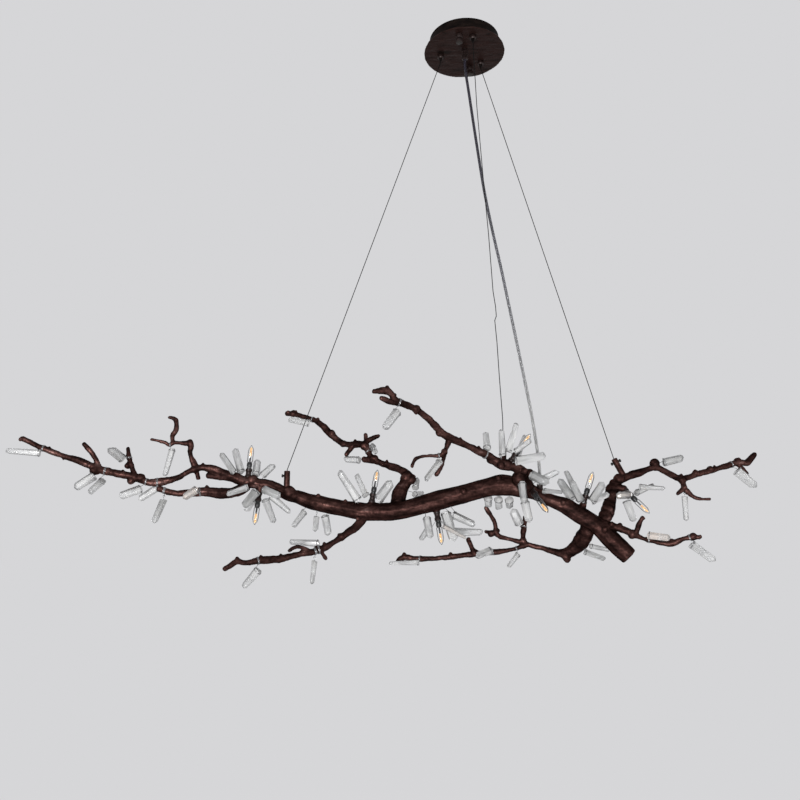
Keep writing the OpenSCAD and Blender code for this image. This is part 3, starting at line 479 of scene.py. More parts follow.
# %% The cord's route
CORD_D = 0.0056
CORD_POINTS = [(0, -12, -22), (0, -12, -51), (0, -12, -70), (6, -13, -120), (18, -14, -220),
               (32, -16, -330), (46, -19, -415), (60, -22, -490), (72, -24, -560),
               (84, -26, -630), (96, -27, -700), (107, -27, -765), (114, -25, -815),
               (119, -20, -855), (121, -14, -878), (121, -12, -886), (121, -12, -898)]
cord_line = smooth_line([Vector(p) / 1000 for p in CORD_POINTS], 8)
sheath = swept("cord_sheath", cord_line, CORD_D / 2, clear_sheath, sides=20)
seat(sheath, "canopy", "cord", "power_cord")
cord_cores = [swept(f"cord_core_{k}", stretched(cord_line, 0.003), 0.00085, grey_core, sides=10,
                    lay=0.05, shift=0.00105, turn=math.tau * k / 3) for k in range(3)]
cores = joined("cord_cores", cord_cores)
seat(cores, "canopy", "cord")
for part in (sheath, cores):
    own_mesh(part)

# %% [markdown]
# ## The forged branch
# The branch is rough forged metal, waxed to a brown-red black. Its trunk, limbs and twigs are
# welded together, and each weld is blended by the hammer. The eight plain limbs are copied, joined
# with burls and buds, and skinned with small voxels, which melts the welds. The skin is smoothed,
# then pushed in and out by noise: long swells, hammer flats and fine dents. The colour is speckled
# in the same way, lighter on ridges and darker in hollows.

# %% Forged bronze finish
forged = finish("forged_bronze", (0.025, 0.01, 0.008), 0.46, 0.85, specular_ior_level=0.1,
                specular_tint=(0.0, 0.0, 0.0, 1))
patch = speckle(forged, 0.018, 5, 0.54, stretch=(0.5, 1, 1.2))
grain = speckle(forged, 0.0032, 4, 0.62)
worn = add(forged, "NewGeometry").outputs["Pointiness"]
tone = ramp(forged, patch, (0.34, (0.016, 0.0085, 0.0075)), (0.5, (0.046, 0.0215, 0.0185)),
            (0.62, (0.085, 0.041, 0.035)), (0.78, (0.19, 0.115, 0.104)))
relief = ramp(forged, worn, (0.44, 0.12), (0.5, 0.8), (0.54, 1.6))
fleck = ramp(forged, grain, (0.34, 0.7), (0.62, 1.0), (0.78, 1.4))
drive(forged, "Base Color",
      mix(forged, "MULTIPLY", 1.0, mix(forged, "MULTIPLY", 0.85, tone, relief), fleck))
drive(forged, "Roughness", patch, (0.3, 0.58), (0.55, 0.46), (0.78, 0.3))
low = bumps(forged, cells(forged, 0.007, "SMOOTH_F1"), 0.0009, 0.6)
bumps(forged, grain, 0.0005, 0.7, under=low)
print("made", forged.name)

# %% Skin the limbs
LIMBS = ["trunk", "left_branch", "lower_left_branch", "rear_branch", "fore_branch",
         "right_branch", "right_twig", "lower_right_branch"]


def copied(node):
    return put(node + "_copy", solids[node].data.copy())


def skinned(made, voxel, passes):
    """Fuses the mesh into one skin of small faces and rounds it."""
    skin = made.modifiers.new("skin", "REMESH")
    skin.mode = "VOXEL"
    skin.voxel_size = voxel
    soft = made.modifiers.new("soft", "SMOOTH")
    soft.iterations = passes
    soft.factor = 0.5
    return baked(made)


def read(mesh, what="co"):
    values = np.zeros(len(mesh.vertices) * 3)
    if what == "co":
        mesh.vertices.foreach_get("co", values)
    else:
        mesh.vertex_normals.foreach_get("vector", values)
    return values.reshape(-1, 3)


def write(mesh, points):
    """Moves the points of a mesh, but none of them outside the box of the solids."""
    mesh.vertices.foreach_set("co", np.clip(points, *solid_box).ravel())
    mesh.update()


def lump(name, at, r):
    """A rough round swelling, for burls, buds and scars."""
    made = put(name, bpy.data.meshes.new(name))
    work = bmesh.new()
    bmesh.ops.create_icosphere(work, subdivisions=3, radius=r)
    for v in work.verts:
        v.co *= 1 + 0.1 * noise.noise(v.co / (r * 0.8) + Vector(at) * 50)
        v.co += Vector(at)
    work.to_mesh(made.data)
    work.free()
    return made


TRUNK_LEVEL = -0.92
# Burls at the forks, and buds along the limbs: x, y, height over the trunk's level line, radius, mm
BURLS = [
    (80, -38, 36, 14), (92, -34, 24, 14), (98, -38, 44, 9), (46, -50, 62, 9), (30, -60, 68, 9),
    (237, -4, -27, 11), (243, 1, -17, 11), (248, 6, -8, 11), (252, 11, 1, 11), (255, 15, 11, 11),
    (259, 19, 21, 11), (265, 22, 30, 10.5), (270, 16, 40, 9), (347, 46, 71, 8.5),
    (206, 10, -54, 13), (202, 18, -64, 13), (197, 25, -74, 13), (189, 32, -83, 12.5),
    (183, 36, -87, 10), (232, -22, -52, 9), (-118, 22, 42, 11), (-108, 20, 38, 8),
    (-330, 16, 16, 11), (-398, 16, 38, 10), (-504, 6, 56, 6), (-594, -10, 40, 8),
    (-610, -14, 34, 7), (-672, -24, 52, 8), (-650, -20, 50, 7), (-620, -6, 62, 5.5),
    (-270, -40, -86, 7), (-232, -22, -64, 7), (40, 54, -58, 6), (100, 60, -72, 7),
    (14, 84, -94, 6), (402, 58, 42, 7), (430, 64, 54, 6), (462, 72, 63, 6), (520, 86, 78, 6.5),
    (-196, 74, 108, 8), (-178, 60, 82, 8), (-238, 92, 114, 7), (-262, 104, 136, 7),
    (-344, 142, 182, 7), (-102, -138, 143, 7), (-62, -110, 108, 6), (276, -32, -60, 7),
    (372, -58, -64, 6), (-54, -106, 76, 6), (300, -38, -69, 6)]
burls = [lump(f"burl_{k}", (x / 1000, y / 1000, z / 1000 + TRUNK_LEVEL), r / 1000)
         for k, (x, y, z, r) in enumerate(BURLS)]
branch = skinned(joined("forged_branch", [copied(n) for n in LIMBS] + burls), 0.0015, 4)
write(branch.data, read(branch.data) + 0.0007 * read(branch.data, "normal"))
print("branch skin:", len(branch.data.vertices), "points")

# %% Hammer the skin
def noise_at(points, size, shift):
    return np.array([noise.noise(Vector(p / size) + Vector((shift, 0, 0))) for p in points])


def hammered(made, layers, share):
    """Moves each point along its normal by the sum of noise layers (size, depth, shift)."""
    points, normals = read(made.data), read(made.data, "normal")
    push = np.zeros(len(points))
    for size, depth, shift in layers:
        push += depth * noise_at(points, size, shift)
    write(made.data, points + normals * (push * share)[:, None])


def skin_of(*made):
    points, faces = [], []
    for o in made:
        base = len(points)
        points += [v.co.copy() for v in o.data.vertices]
        faces += [[base + i for i in f.vertices] for f in o.data.polygons]
    return BVHTree.FromPolygons(points, faces)


# The trunk was forged smoother than the twigs, so its dents are shallower
trunk_skin = skin_of(solids["trunk"])
away = np.array([trunk_skin.find_nearest(Vector(p))[3] for p in read(branch.data)])
rough = 0.45 + 0.4 * np.clip((away - 0.002) / 0.012, 0, 1)
hammered(branch, [(0.026, 0.0026, 0), (0.011, 0.0012, 7), (0.0038, 0.0005, 13)], rough)
# The bark keeps off the hooks and off both ends of each swing, so the hung crystals swing freely
SWING = 0.35
HOOK_ROOM, SWING_ROOM = 0.0042, 0.0062
STONE_TOP, STONE_END = 0.004, 0.034
bark = read(branch.data)
for n in range(1, 5):
    hook = np.array(joints[f"swing_{n}_turn"]["pos_m"])
    off = bark - hook
    far = np.linalg.norm(off, axis=1)
    near = far < HOOK_ROOM
    bark[near] = hook + off[near] / far[near, None] * HOOK_ROOM
    for a in (-SWING, SWING):
        way = np.array([-math.sin(a), 0, -math.cos(a)])
        off = bark - hook
        down = off @ way
        side = off - down[:, None] * way
        far = np.linalg.norm(side, axis=1)
        near = (down > STONE_TOP) & (down < STONE_END) & (far < SWING_ROOM)
        bark[near] += side[near] * (SWING_ROOM / far[near, None] - 1)
write(branch.data, bark)
paint(branch, forged)
branch.data.shade_smooth()
seat(branch, "fixture", "bronze", *LIMBS)
print("hammered", branch.name)

# %% [markdown]
# ## Quartz points
# Each crystal is a natural hexagonal prism with a steep six-sided tip and a broken root. A spun or
# tapered bar would look like moulded plastic, so each one is cut from a block by planes, as
# crystal faces are flat planes: six uneven sides, six uneven tip faces, and a rough break.
# The places come from the solids: each loose bar in a group gives its axis, its root and its girth.

# %% Quartz finishes
# Milk gathers at the root and in drifts, and there less light goes through. The rims are painted
# darker, down to the edge colour, as painted shade.
def quartz_finish(name, clear, cloud, edge, weight):
    material = finish(name, clear, 0.3, ior=1.5, transmission_weight=weight,
                      coat_weight=0.7, coat_roughness=0.06)
    mist = speckle(material, 0.012, 2, 0.5, warp=0.4)
    grown = add(material, "Attribute", attribute_name="grown").outputs["Vector"]
    veil = speckle(material, 0.01, 1, 0.5, stretch=(1, 1, 0.35), at=grown)
    height = add(material, "Attribute", attribute_name="height").outputs["Fac"]
    root = ramp(material, height, (0.0, 1.0), (0.45, 0.25), (0.9, 0.0))
    milk = mix(material, "SCREEN", 0.8, ramp(material, mist, (0.42, 0.0), (0.64, 0.9)), root)
    tint = mix(material, "MIX", milk, (*clear, 1), (*cloud, 1))
    # Painted shade: the colour falls to edge at the rims, where the crystal is seen at a slant.
    rim = slant(material, 0.45, (0.3, 1.0), (0.72, edge))
    # The painted rim shade is multiplied with the real veils in the stone.
    rim_shade_and_veils = mix(material, "MULTIPLY", 0.8, rim, ramp(material, veil, (0.34, 0.66), (0.56, 1.0)))
    drive(material, "Base Color", mix(material, "MULTIPLY", 1.0, tint, rim_shade_and_veils))
    drive(material, "Transmission Weight", milk, (0.0, weight), (1.0, weight * 0.35))
    drive(material, "Roughness", veil, (0.35, 0.28), (0.7, 0.36))
    return material


# Clear colour, milky colour, painted shade at the rims, and the share of light that goes through.
quartz_clear = quartz_finish("quartz_clear", (0.97, 0.975, 0.98), (0.92, 0.92, 0.915), 0.24, 0.68)
quartz_grey = quartz_finish("quartz_grey", (0.86, 0.865, 0.87), (0.6, 0.6, 0.59), 0.2, 0.68)
quartz_warm = quartz_finish("quartz_warm", (0.96, 0.94, 0.92), (0.9, 0.8, 0.73), 0.26, 0.62)
print("made three kinds of quartz")

# %% Cut one crystal from a block
def cut(work, at, way):
    bmesh.ops.bisect_plane(work, geom=work.verts[:] + work.edges[:] + work.faces[:],
                           plane_co=at, plane_no=way, clear_outer=True)
    rim = [e for e in work.edges if len(e.link_faces) < 2]
    if rim:
        bmesh.ops.holes_fill(work, edges=rim, sides=0)


def crystal(name, root, tip, width, seed, material):
    """A quartz point from root to tip, no wider than width."""
    rng = np.random.default_rng(seed)
    axis = tip - root
    length = axis.length
    half = width / 2 * 1.1
    work = bmesh.new()
    bmesh.ops.create_cube(work, size=1)
    bmesh.ops.scale(work, vec=(width * 1.6, width * 1.6, length), verts=work.verts)
    bmesh.ops.translate(work, vec=(0, 0, length / 2), verts=work.verts)
    turn = rng.uniform(0, math.tau)
    flat = rng.uniform(0.86, 1.0)
    for k in range(6):
        a = turn + math.tau * k / 6 + rng.uniform(-0.05, 0.05)
        side = half * rng.uniform(0.86, 0.98) * (flat if k % 3 == 0 else 1)
        cut(work, compass(a) * side, compass(a, rng.uniform(0.0, 0.05)).normalized())
    chisel = rng.integers(0, 6)
    for k in range(6):
        a = turn + math.tau * k / 6 + rng.uniform(-0.05, 0.05)
        steep = rng.uniform(0.74, 0.95)
        lift = (0.08 * width if k % 2 else 0.0) - (0.14 * width if k == chisel else 0.0)
        cut(work, Vector((0, 0, length + lift)), compass(a, math.sin(steep), math.cos(steep)))
    for k in range(3):
        a = rng.uniform(0, math.tau)
        slope = rng.uniform(0.1, 0.45)
        cut(work, Vector((0, 0, 0)), compass(a, -1, slope).normalized())
    low, high = min(v.co.z for v in work.verts), max(v.co.z for v in work.verts)
    for v in work.verts:
        v.co.z = (v.co.z - low) / (high - low) * length
    bmesh.ops.remove_doubles(work, verts=work.verts, dist=width * 0.02)
    bmesh.ops.bevel(work, geom=work.edges[:], offset=width * 0.025, segments=2, profile=0.6,
                    affect="EDGES", clamp_overlap=True)
    bmesh.ops.recalc_face_normals(work, faces=work.faces)
    mesh = bpy.data.meshes.new(name)
    work.to_mesh(mesh)
    work.free()
    own = read(mesh)
    mesh.attributes.new("grown", "FLOAT_VECTOR", "POINT").data.foreach_set(
        "vector", (own + np.array([0, 0, seed * 0.37])).ravel())
    mesh.attributes.new("height", "FLOAT", "POINT").data.foreach_set("value", own[:, 2] / length)
    mesh.transform(Matrix.Translation(root) @ turn_to(axis).to_4x4())
    write(mesh, read(mesh))
    mesh.materials.append(material)
    mesh.shade_smooth()
    mesh.set_sharp_from_angle(angle=math.radians(20))
    return put(name, mesh)


print("crystal cutter ready")

# %% Find the bars in a group of solids
def loose_parts(mesh):
    """The separate solids of a mesh, each as an array of its own points."""
    points = read(mesh)
    places, first = np.unique(np.round(points, 6), axis=0, return_inverse=True)
    first = first.ravel()
    owner = list(range(len(places)))

    def find(i):
        while owner[i] != i:
            owner[i] = owner[owner[i]]
            i = owner[i]
        return i

    for e in mesh.edges:
        a, b = find(first[e.vertices[0]]), find(first[e.vertices[1]])
        owner[a] = b
    groups = {}
    for i in range(len(places)):
        groups.setdefault(find(i), []).append(places[i])
    return sorted((np.array(g) for g in groups.values()), key=lambda g: tuple(g.mean(0)))


def bar(points):
    """Root, tip and girth of a crystal's plain solid."""
    middle = points.mean(0)
    axis = np.linalg.svd(points - middle)[2][0]
    along = (points - middle) @ axis
    off = np.linalg.norm(points - middle - along[:, None] * axis, axis=1)
    low, high = off[along < along.min() + 1e-4].mean(), off[along > along.max() - 1e-4].mean()
    if low < high:
        axis, along = -axis, -along
    root = middle + axis * along.min()
    tip = middle + axis * along.max()
    return Vector(root), Vector(tip), float(off.max() * 2)


print("bar finder ready")

# %% Set the fixed crystals
GROUPS = [n for n in solids if n.endswith("_crystals") or n.endswith("_cluster")]
SMOKY = {
    "right_cluster": (1, 2, 3, 4), "left_crystals": (3, 4), "right_crystals": (2,),
    "end_cluster": (3,), "low_right_crystals": (5,), "mid_cluster": (4,), "neck_cluster": (6, 8),
    "left_cluster": (1, 5), "fore_crystals": (2,)}
WARM = {"end_cluster": (1,), "right_crystals": (1,), "left_crystals": (8,), "low_cluster": (4,)}
count = 0
tied = []
for node in sorted(GROUPS):
    for number, part in enumerate(loose_parts(solids[node].data)):
        root, tip, girth = bar(part)
        kind = quartz_grey if number + 1 in SMOKY.get(node, ()) else quartz_clear
        kind = quartz_warm if number + 1 in WARM.get(node, ()) else kind
        made = crystal(f"{node}_{number + 1}", root, tip, girth, 100 + count, kind)
        seat(made, "fixture", "quartz", node)
        tied.append((made, root, tip))
        count += 1
print("set", count, "crystals in", len(GROUPS), "groups")

# %% Hang the four loose crystals
HANG = 0.0056
bright_wire = scuffed("bright_wire", (0.38, 0.38, 0.385), 0.28, 0.9, 0.002, 3, 0.18, 0.42)
for n in range(1, 5):
    hook = Vector(joints[f"swing_{n}_turn"]["pos_m"])
    points = read(solids[f"drop_crystal_{n}"].data)
    tip = Vector(points[np.argsort(points[:, 2])[:6]].mean(0))
    root = hook - Vector((0, 0, HANG))
    axis = (tip - root).normalized()
    body = points[points[:, 2] < root.z - 0.004]
    reach = body - np.array(root)
    off = np.linalg.norm(reach - (reach @ np.array(axis))[:, None] * np.array(axis), axis=1)
    # The hung crystals are drawn slimmer than their solids, so that they clear the bark
    slim = 1.8 if n % 2 else 1.5
    stone = crystal(f"drop_{n}_stone", root, tip, float(off.max() * slim), 300 + n,
                    (quartz_clear, quartz_grey)[n % 2])
    eye = [hook + Vector((0.0016 * math.sin(a), 0, -0.0005 - 0.0016 * math.cos(a)))
           for a in np.linspace(0.0, math.tau * 0.97, 28)]
    stem = swept(f"drop_{n}_eye", eye + [eye[0] - Vector((0, 0, 0.004))], 0.00044, bright_wire,
                 sides=10)
    drop = joined(f"drop_crystal_{n}_dressed", [stone, stem])
    seat(drop, f"swing_{n}", "quartz", f"drop_crystal_{n}")
    print(drop.name, "hangs from", tuple(round(v, 3) for v in hook))

# %% [markdown]
# ## The capsule lamps
# A lamp is a clear glass capsule drawn to a point, with a black base, two pins and a lit strip of
# yellow diodes in its upper half. The glass is a real shell with an inner wall, because a solid
# one would bend light like a lens. The strip glows a little, so that it reads as lit by day.

# %% Lamp finishes
lamp_glass = scuffed("lamp_glass", (0.98, 0.98, 0.98), 0.02, 0.0, 0.02, 2, 0.01, 0.05, ior=1.45,
                     transmission_weight=1.0)
# Painted shade: the glass is darkened at its rims, so that the capsule shows dark outlines.
drive(lamp_glass, "Base Color", slant(lamp_glass, 0.5, (0.3, 1.0), (0.55, 0.06)))
lamp_black = scuffed("lamp_black", (0.015, 0.015, 0.016), 0.35, 0.0, 0.0015, 3, 0.28, 0.5)
lamp_pins = finish("lamp_pins", (0.75, 0.74, 0.7), 0.3, 1.0)
glow = finish("glow", (0.8, 0.5, 0.2), 0.5, emission_strength=0.42)
dots = cells(glow, 0.0026)
drive(glow, "Emission Color", dots, (0.25, (1.0, 0.7, 0.38)), (0.7, (0.78, 0.4, 0.14)))
print("lamp finishes ready")

# %% One lamp
LAMP_R = 0.0054
PIN_L = 0.007
PIN_SIDE = 0.002
BASE_H = 0.009
GLASS_L = 0.031
GLASS_WALL = 0.0007
LAMP_GAP = 0.0003


def lamp(name, at, way):
    way = Vector(way).normalized()
    r, l = LAMP_R, GLASS_L
    start = at + way * BASE_H
    shape = [(r * 0.9, 0), (r, 0.0012), (r, l * 0.6), (r * 0.97, l * 0.67), (r * 0.86, l * 0.76),
             (r * 0.66, l * 0.85), (r * 0.42, l * 0.92), (r * 0.2, l * 0.97), (r * 0.09, l * 0.995),
             (0.0, l)]
    wall = GLASS_WALL
    inner = [(max(q - wall, 0.0), h - (wall if h > l * 0.5 else 0)) for q, h in shape[:-1]]
    inner += [(0.0, l * 0.955)]
    skin = turned(name + "_glass", shape[::-1] + inner, start, way, lamp_glass, 40)
    foot = eased([(0.0, 0), (r - 0.0009, 0), (r - 0.0005, 0.001), (r - 0.0005, 0.0068),
                  (r - 0.0012, 0.0072), (r - 0.0012, BASE_H), (0.0, BASE_H)])
    base = turned(name + "_base", foot, at, way, lamp_black, 40)
    spin = turn_to(way)
    parts = [skin, base]
    for s in (-1, 1):
        pin_at = at + spin @ Vector((s * PIN_SIDE, 0, 0)) - way * PIN_L
        pin = [(0, 0), (0.00025, 0), (0.00035, 0.0004), (0.00035, PIN_L), (0, PIN_L)]
        parts.append(turned(f"{name}_pin{s}", pin, pin_at, way, lamp_pins, 12))
    for label, low, high, half, material in (("driver", 0, l * 0.34, 0.0013, lamp_black),
                                             ("strip", l * 0.36, l * 0.86, 0.0016, glow)):
        parts.append(slab(f"{name}_{label}", low, high, half, start, spin, material))
    for turn in range(4):
        for row in range(5):
            side = Matrix.Rotation(math.tau * turn / 4, 3, "Z")
            spot = start + spin @ (side @ Vector((0.00165, 0, l * (0.4 + 0.09 * row))))
            parts.append(turned(f"{name}_chip{turn}{row}",
                                [(0, -0.0001), (0.0009, 0), (0.0007, 0.0005), (0, 0.0006)],
                                spot, spin @ (side @ Vector((1, 0, 0))), glow, 8))
    return joined(name, parts)


def slab(name, low, high, half, at, spin, material):
    """A small board with eased edges, from one height to another."""
    points = [at + spin @ Vector((x * half, y * half * 0.75, z))
              for z in (low, high) for x, y in SQUARE]
    faces = [(0, 3, 2, 1), (4, 5, 6, 7), (0, 1, 5, 4), (1, 2, 6, 5), (2, 3, 7, 6), (3, 0, 4, 7)]
    made = piece(name, points, faces, material, smooth=False)
    edge = made.modifiers.new("edge", "BEVEL")
    edge.width = 0.0002
    edge.segments = 2
    return baked(made)


print("lamp maker ready")

# %% Place the lamps
lamp_seats = []
for n in range(1, 9):
    way = Vector(joints[f"lamp_{n}_pull"]["axis"]).normalized()
    points = read(solids[f"bulb_{n}"].data)
    spin = np.array(turn_to(way))
    local = points @ spin
    middle = (local.min(0) + local.max(0)) / 2
    foot = Vector(spin @ np.array([middle[0], middle[1], local[:, 2].min() + PIN_L + LAMP_GAP]))
    made = lamp(f"lamp_{n}_dressed", foot, way)
    seat(made, f"lamp_{n}", "lamp", f"bulb_{n}")
    lamp_seats.append((foot, way))
print("placed", len(lamp_seats), "lamps")

# %% [markdown]
# ## Holders and sockets
# Each lamp stands in a black pin socket inside a short bronze sleeve with a bead at each end.
# Both are turned parts, so both are spun from an outline with eased edges.

# %% Holders and sockets
bronze_turned = finish("turned_bronze", (0.03, 0.016, 0.014), 0.4, 0.3, specular_ior_level=0.3)
scuff = speckle(bronze_turned, 0.004, 4)
drive(bronze_turned, "Base Color", scuff, (0.3, (0.01, 0.006, 0.006)),
      (0.8, (0.045, 0.026, 0.023)))
drive(bronze_turned, "Roughness", scuff, (0.3, 0.3), (0.8, 0.55))
bumps(bronze_turned, speckle(bronze_turned, 0.0015, 3), 0.0002, 0.4)
sleeves, pots = [], []
for n, (foot, way) in enumerate(lamp_seats):
    face = foot - way * LAMP_GAP
    rim = face - way * 0.003
    bottom = rim - way * 0.016
    sleeve = eased(mm((0, 0), (6, 0), (6, 4), (5, 4.8), (5, 10.2), (6, 11), (6, 16), (4.6, 16),
                      (4.6, 6), (0, 6)))
    sleeves.append(turned(f"sleeve_{n}", sleeve, bottom, way, bronze_turned, 40))
    pot = eased(mm((0, 2), (4.5, 2), (4.5, 15), (3.6, 15), (3.6, 14.1), (0, 14.1)))
    pots.append(turned(f"pot_{n}", pot, bottom + way * 0.004, way, lamp_black, 40))
seat(joined("holder_sleeves", sleeves), "fixture", "bronze", "lamp_holders")
seat(joined("socket_pots", pots), "fixture", "socket", "lamp_sockets")
print("holders and sockets done")

# %% [markdown]
# ## The canopy
# The canopy is a shallow drum against the ceiling, with a thicker round plate under it. The plate
# was beaten by hand, so its underside and rim are full of shallow facets. A flat disc with painted
# marks would not catch light in the same way. The plate is skinned and hammered like the branch,
# only inwards. The drum, nuts, gland and grippers are turned parts.

# %% Hammered plate and drum
beaten = finish("beaten_bronze", (0.035, 0.019, 0.016), 0.55, 0.0, specular_ior_level=0.06)
marks = speckle(beaten, 0.014, 3, 0.5, stretch=(0.45, 1.6, 1), warp=0.5)
spots = speckle(beaten, 0.003, 3)
tone = ramp(beaten, marks, (0.3, (0.01, 0.006, 0.005)), (0.4, (0.026, 0.0125, 0.0105)),
            (0.6, (0.034, 0.0165, 0.014)), (0.75, (0.042, 0.021, 0.018)))
drive(beaten, "Base Color",
      mix(beaten, "MULTIPLY", 0.4, tone, ramp(beaten, spots, (0.3, 0.5), (0.7, 1.0))))
drive(beaten, "Roughness", marks, (0.3, 0.55), (0.7, 0.34))
low = bumps(beaten, marks, 0.0016, 0.8)
bumps(beaten, spots, 0.0003, 0.5, under=low)
plate = skinned(copied("canopy_plate"), 0.0013, 2)
shape, normals = read(plate.data), read(plate.data, "normal")
dent = np.array([noise.noise(Vector((p[0] / 0.017, p[1] / 0.01, p[2] / 0.012))) for p in shape])
dent += 0.5 * noise_at(shape, 0.006, 9)
write(plate.data, shape - normals * (0.0004 + 0.0006 * np.clip(dent, -0.6, 1))[:, None])
plate.name = "canopy_plate_beaten"
paint(plate, beaten)
plate.data.shade_smooth()
seat(plate, "canopy", "canopy", "canopy_plate")
side = eased(mm((67.5, 0), (67.5, -26), (69, -26), (69, -24), (68.6, -23.5), (68.6, -2.2),
                (69, -1.8), (69, 0), (67.5, 0)), 0.0003)
drum_black = finish("drum_black", (0.01, 0.007, 0.006), 0.55, 0.0, specular_ior_level=0.03)
rolled = speckle(drum_black, 0.02, 3, stretch=(1, 1, 3))
drive(drum_black, "Base Color", rolled, (0.35, (0.004, 0.003, 0.003)),
      (0.75, (0.018, 0.012, 0.01)))
drum = turned("canopy_drum_rolled", side, (0, 0, 0), UP, drum_black, 128)
seat(drum, "canopy", "canopy", "canopy_drum")
print("plate points:", len(plate.data.vertices))

# %% Cap nuts
nut_face = scuffed("nut_face", (0.04, 0.033, 0.029), 0.42, 0.3, 0.004, 2, 0.24, 0.45,
                   specular_ior_level=0.2)
nut_outline = eased(mm((0, 0), (6.2, 0), (6.5, 0.4), (6.5, 8), (5.7, 8.3), (5.7, 9.7), (6.5, 10),
                       (6.5, 17.6), (6.1, 18), (2.6, 18), (2.6, 4.2), (0, 4.2)), 0.00025)
for k in ("front", "rear"):
    foot = middle_foot(f"cap_nut_{k}")
    shell = turned(f"nut_{k}_shell", nut_outline, foot, UP, bronze_turned, 64,
                   wave=knurl(28, 0.018, 0.0104, 0.0172))
    face = turned(f"nut_{k}_face",
                  mm((0, -0.02), (5.2, -0.02), (5.5, 0.1), (0, 0.1)),
                  foot, UP, nut_face, 48)
    seat(joined(f"cap_nut_{k}_turned", [shell, face]), f"nut_{k}", "fittings", f"cap_nut_{k}")
print("cap nuts done")

# %% Cord gland and its lock nut
gland_foot = middle_foot("cord_gland")
ribs = mm((3.1, 31), (3.1, 0), (4.4, 0), (6, 1.2))
ribs += repeated(4, 0.0052, (0.006, 0.0045), (0.0054, 0.005), (0.0054, 0.0056), (0.006, 0.006))
ribs = ribs[:-1] + [(0.0054, 0.021)]
ribs += repeated(7, 0.0013, (0.005, 0.0216), (0.0046, 0.0222))
ribs += mm((5, 31), (3.1, 31))
gland = turned("cord_gland_ribbed", ribs, gland_foot, UP, bronze_turned, 48,
               wave=knurl(18, 0.02, 0.001, 0.0205, 0.3))
seat(gland, "canopy", "fittings", "cord_gland")
zinc = finish("zinc", (0.55, 0.56, 0.57), 0.36, 1.0)
bloom = speckle(zinc, 0.006, 5, 0.65)
drive(zinc, "Roughness", bloom, (0.3, 0.26), (0.75, 0.55))
drive(zinc, "Base Color", bloom, (0.3, (0.42, 0.43, 0.45)), (0.75, (0.62, 0.62, 0.62)))
nut_at = Vector((gland_foot.x, gland_foot.y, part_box("gland_nut")[0].z))


def hexagon(a, h):
    """Six flats in the middle of the nut's height, and a round chamfer above and below."""
    if 0.0005 < h < 0.0035:
        return math.cos(math.pi / 6) / math.cos((a + math.pi / 6) % (math.pi / 3) - math.pi / 6)
    return 0.97


lock = turned("gland_nut_cut", mm((5.05, 0), (7.4, 0), (8, 0.6), (8, 3.4), (7.4, 4), (5.05, 4),
                                  (5.05, 0)),
              nut_at, UP, zinc, 72, wave=hexagon)
seat(lock, "canopy", "steel", "gland_nut")
print("gland done")

# %% Cable grippers and their release noses
bodies = []
for k, at in GRIPPERS.items():
    dome = mm((3.15, -38), (5, -38), (5.5, -37.4), (5.8, -36.2), (6.5, -35.5), (6.5, -30.6),
              (6, -30), (5, -30), (5, -26.2))
    dome += repeated(4, 0.0013, (0.005, -0.0258), (0.0046, -0.0252))
    dome += mm((5, -20.5), (4.7, -20), (1.05, -20), (1.05, -26.8), (3.15, -26.8), (3.15, -38))
    bodies.append(turned(f"gripper_{k}_body", dome, at, UP, bronze_turned, 56))
    nose = eased(mm((1.05, -41), (2.6, -41), (3, -40.4), (3, -30.3), (1.05, -30.3),
                    (1.05, -41)), 0.0002)
    tip = turned(f"gripper_nose_{k}_turned", nose, at, UP, drum_black, 40)
    seat(tip, f"nose_{k}", "steel", f"gripper_nose_{k}")
seat(joined("gripper_bodies_turned", bodies), "canopy", "fittings", "gripper_bodies")
print("three grippers done")

# %% [markdown]
# ## Inside the canopy
# The bracket, the two studs, the lamp driver and the terminal block can only be seen from above,
# through the open top of the drum. Their solids already have the right shape, so the bracket, the
# driver and the block keep them and get a finish. The studs get a thread.

# %% Bracket, studs, driver and terminals
paint(solids["ceiling_bracket"], zinc)
low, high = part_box("bracket_studs")
studs = []
for k in ("front", "rear"):
    foot = middle_foot(f"cap_nut_{k}")
    foot.z = low.z
    turns = int((high.z - low.z) / 0.0008) - 1
    rod = [(0, 0), (0.002, 0)] + repeated(turns, 0.0008, (0.0025, 0.0004), (0.0021, 0.0008))
    rod += [(0.0025, high.z - low.z), (0, high.z - low.z)]
    studs.append(turned(f"stud_{k}", rod, foot, UP, zinc, 24))
seat(joined("bracket_studs_threaded", studs), "canopy", "steel", "bracket_studs")
white_case = finish("white_case", (0.8, 0.8, 0.79), 0.45)
orange_peel = speckle(white_case, 0.0012, 2)
bumps(white_case, orange_peel, 0.0001, 0.4)
drive(white_case, "Roughness", speckle(white_case, 0.01, 3), (0.3, 0.38), (0.8, 0.55))
paint(solids["lamp_driver"], white_case)
ivory_block = scuffed("ivory_block", (0.74, 0.69, 0.56), 0.4, 0.0, 0.004, 3, 0.3, 0.5)
paint(solids["terminal_block"], ivory_block)
print("inside of the canopy done")

# %% [markdown]
# ## Posts, set screws and the cord's bush
# Each cable ends in a bored post on the branch, and a black set screw clamps it from the side. The
# posts are turned bar in the same bronze, with a rim at the mouth of the bore.

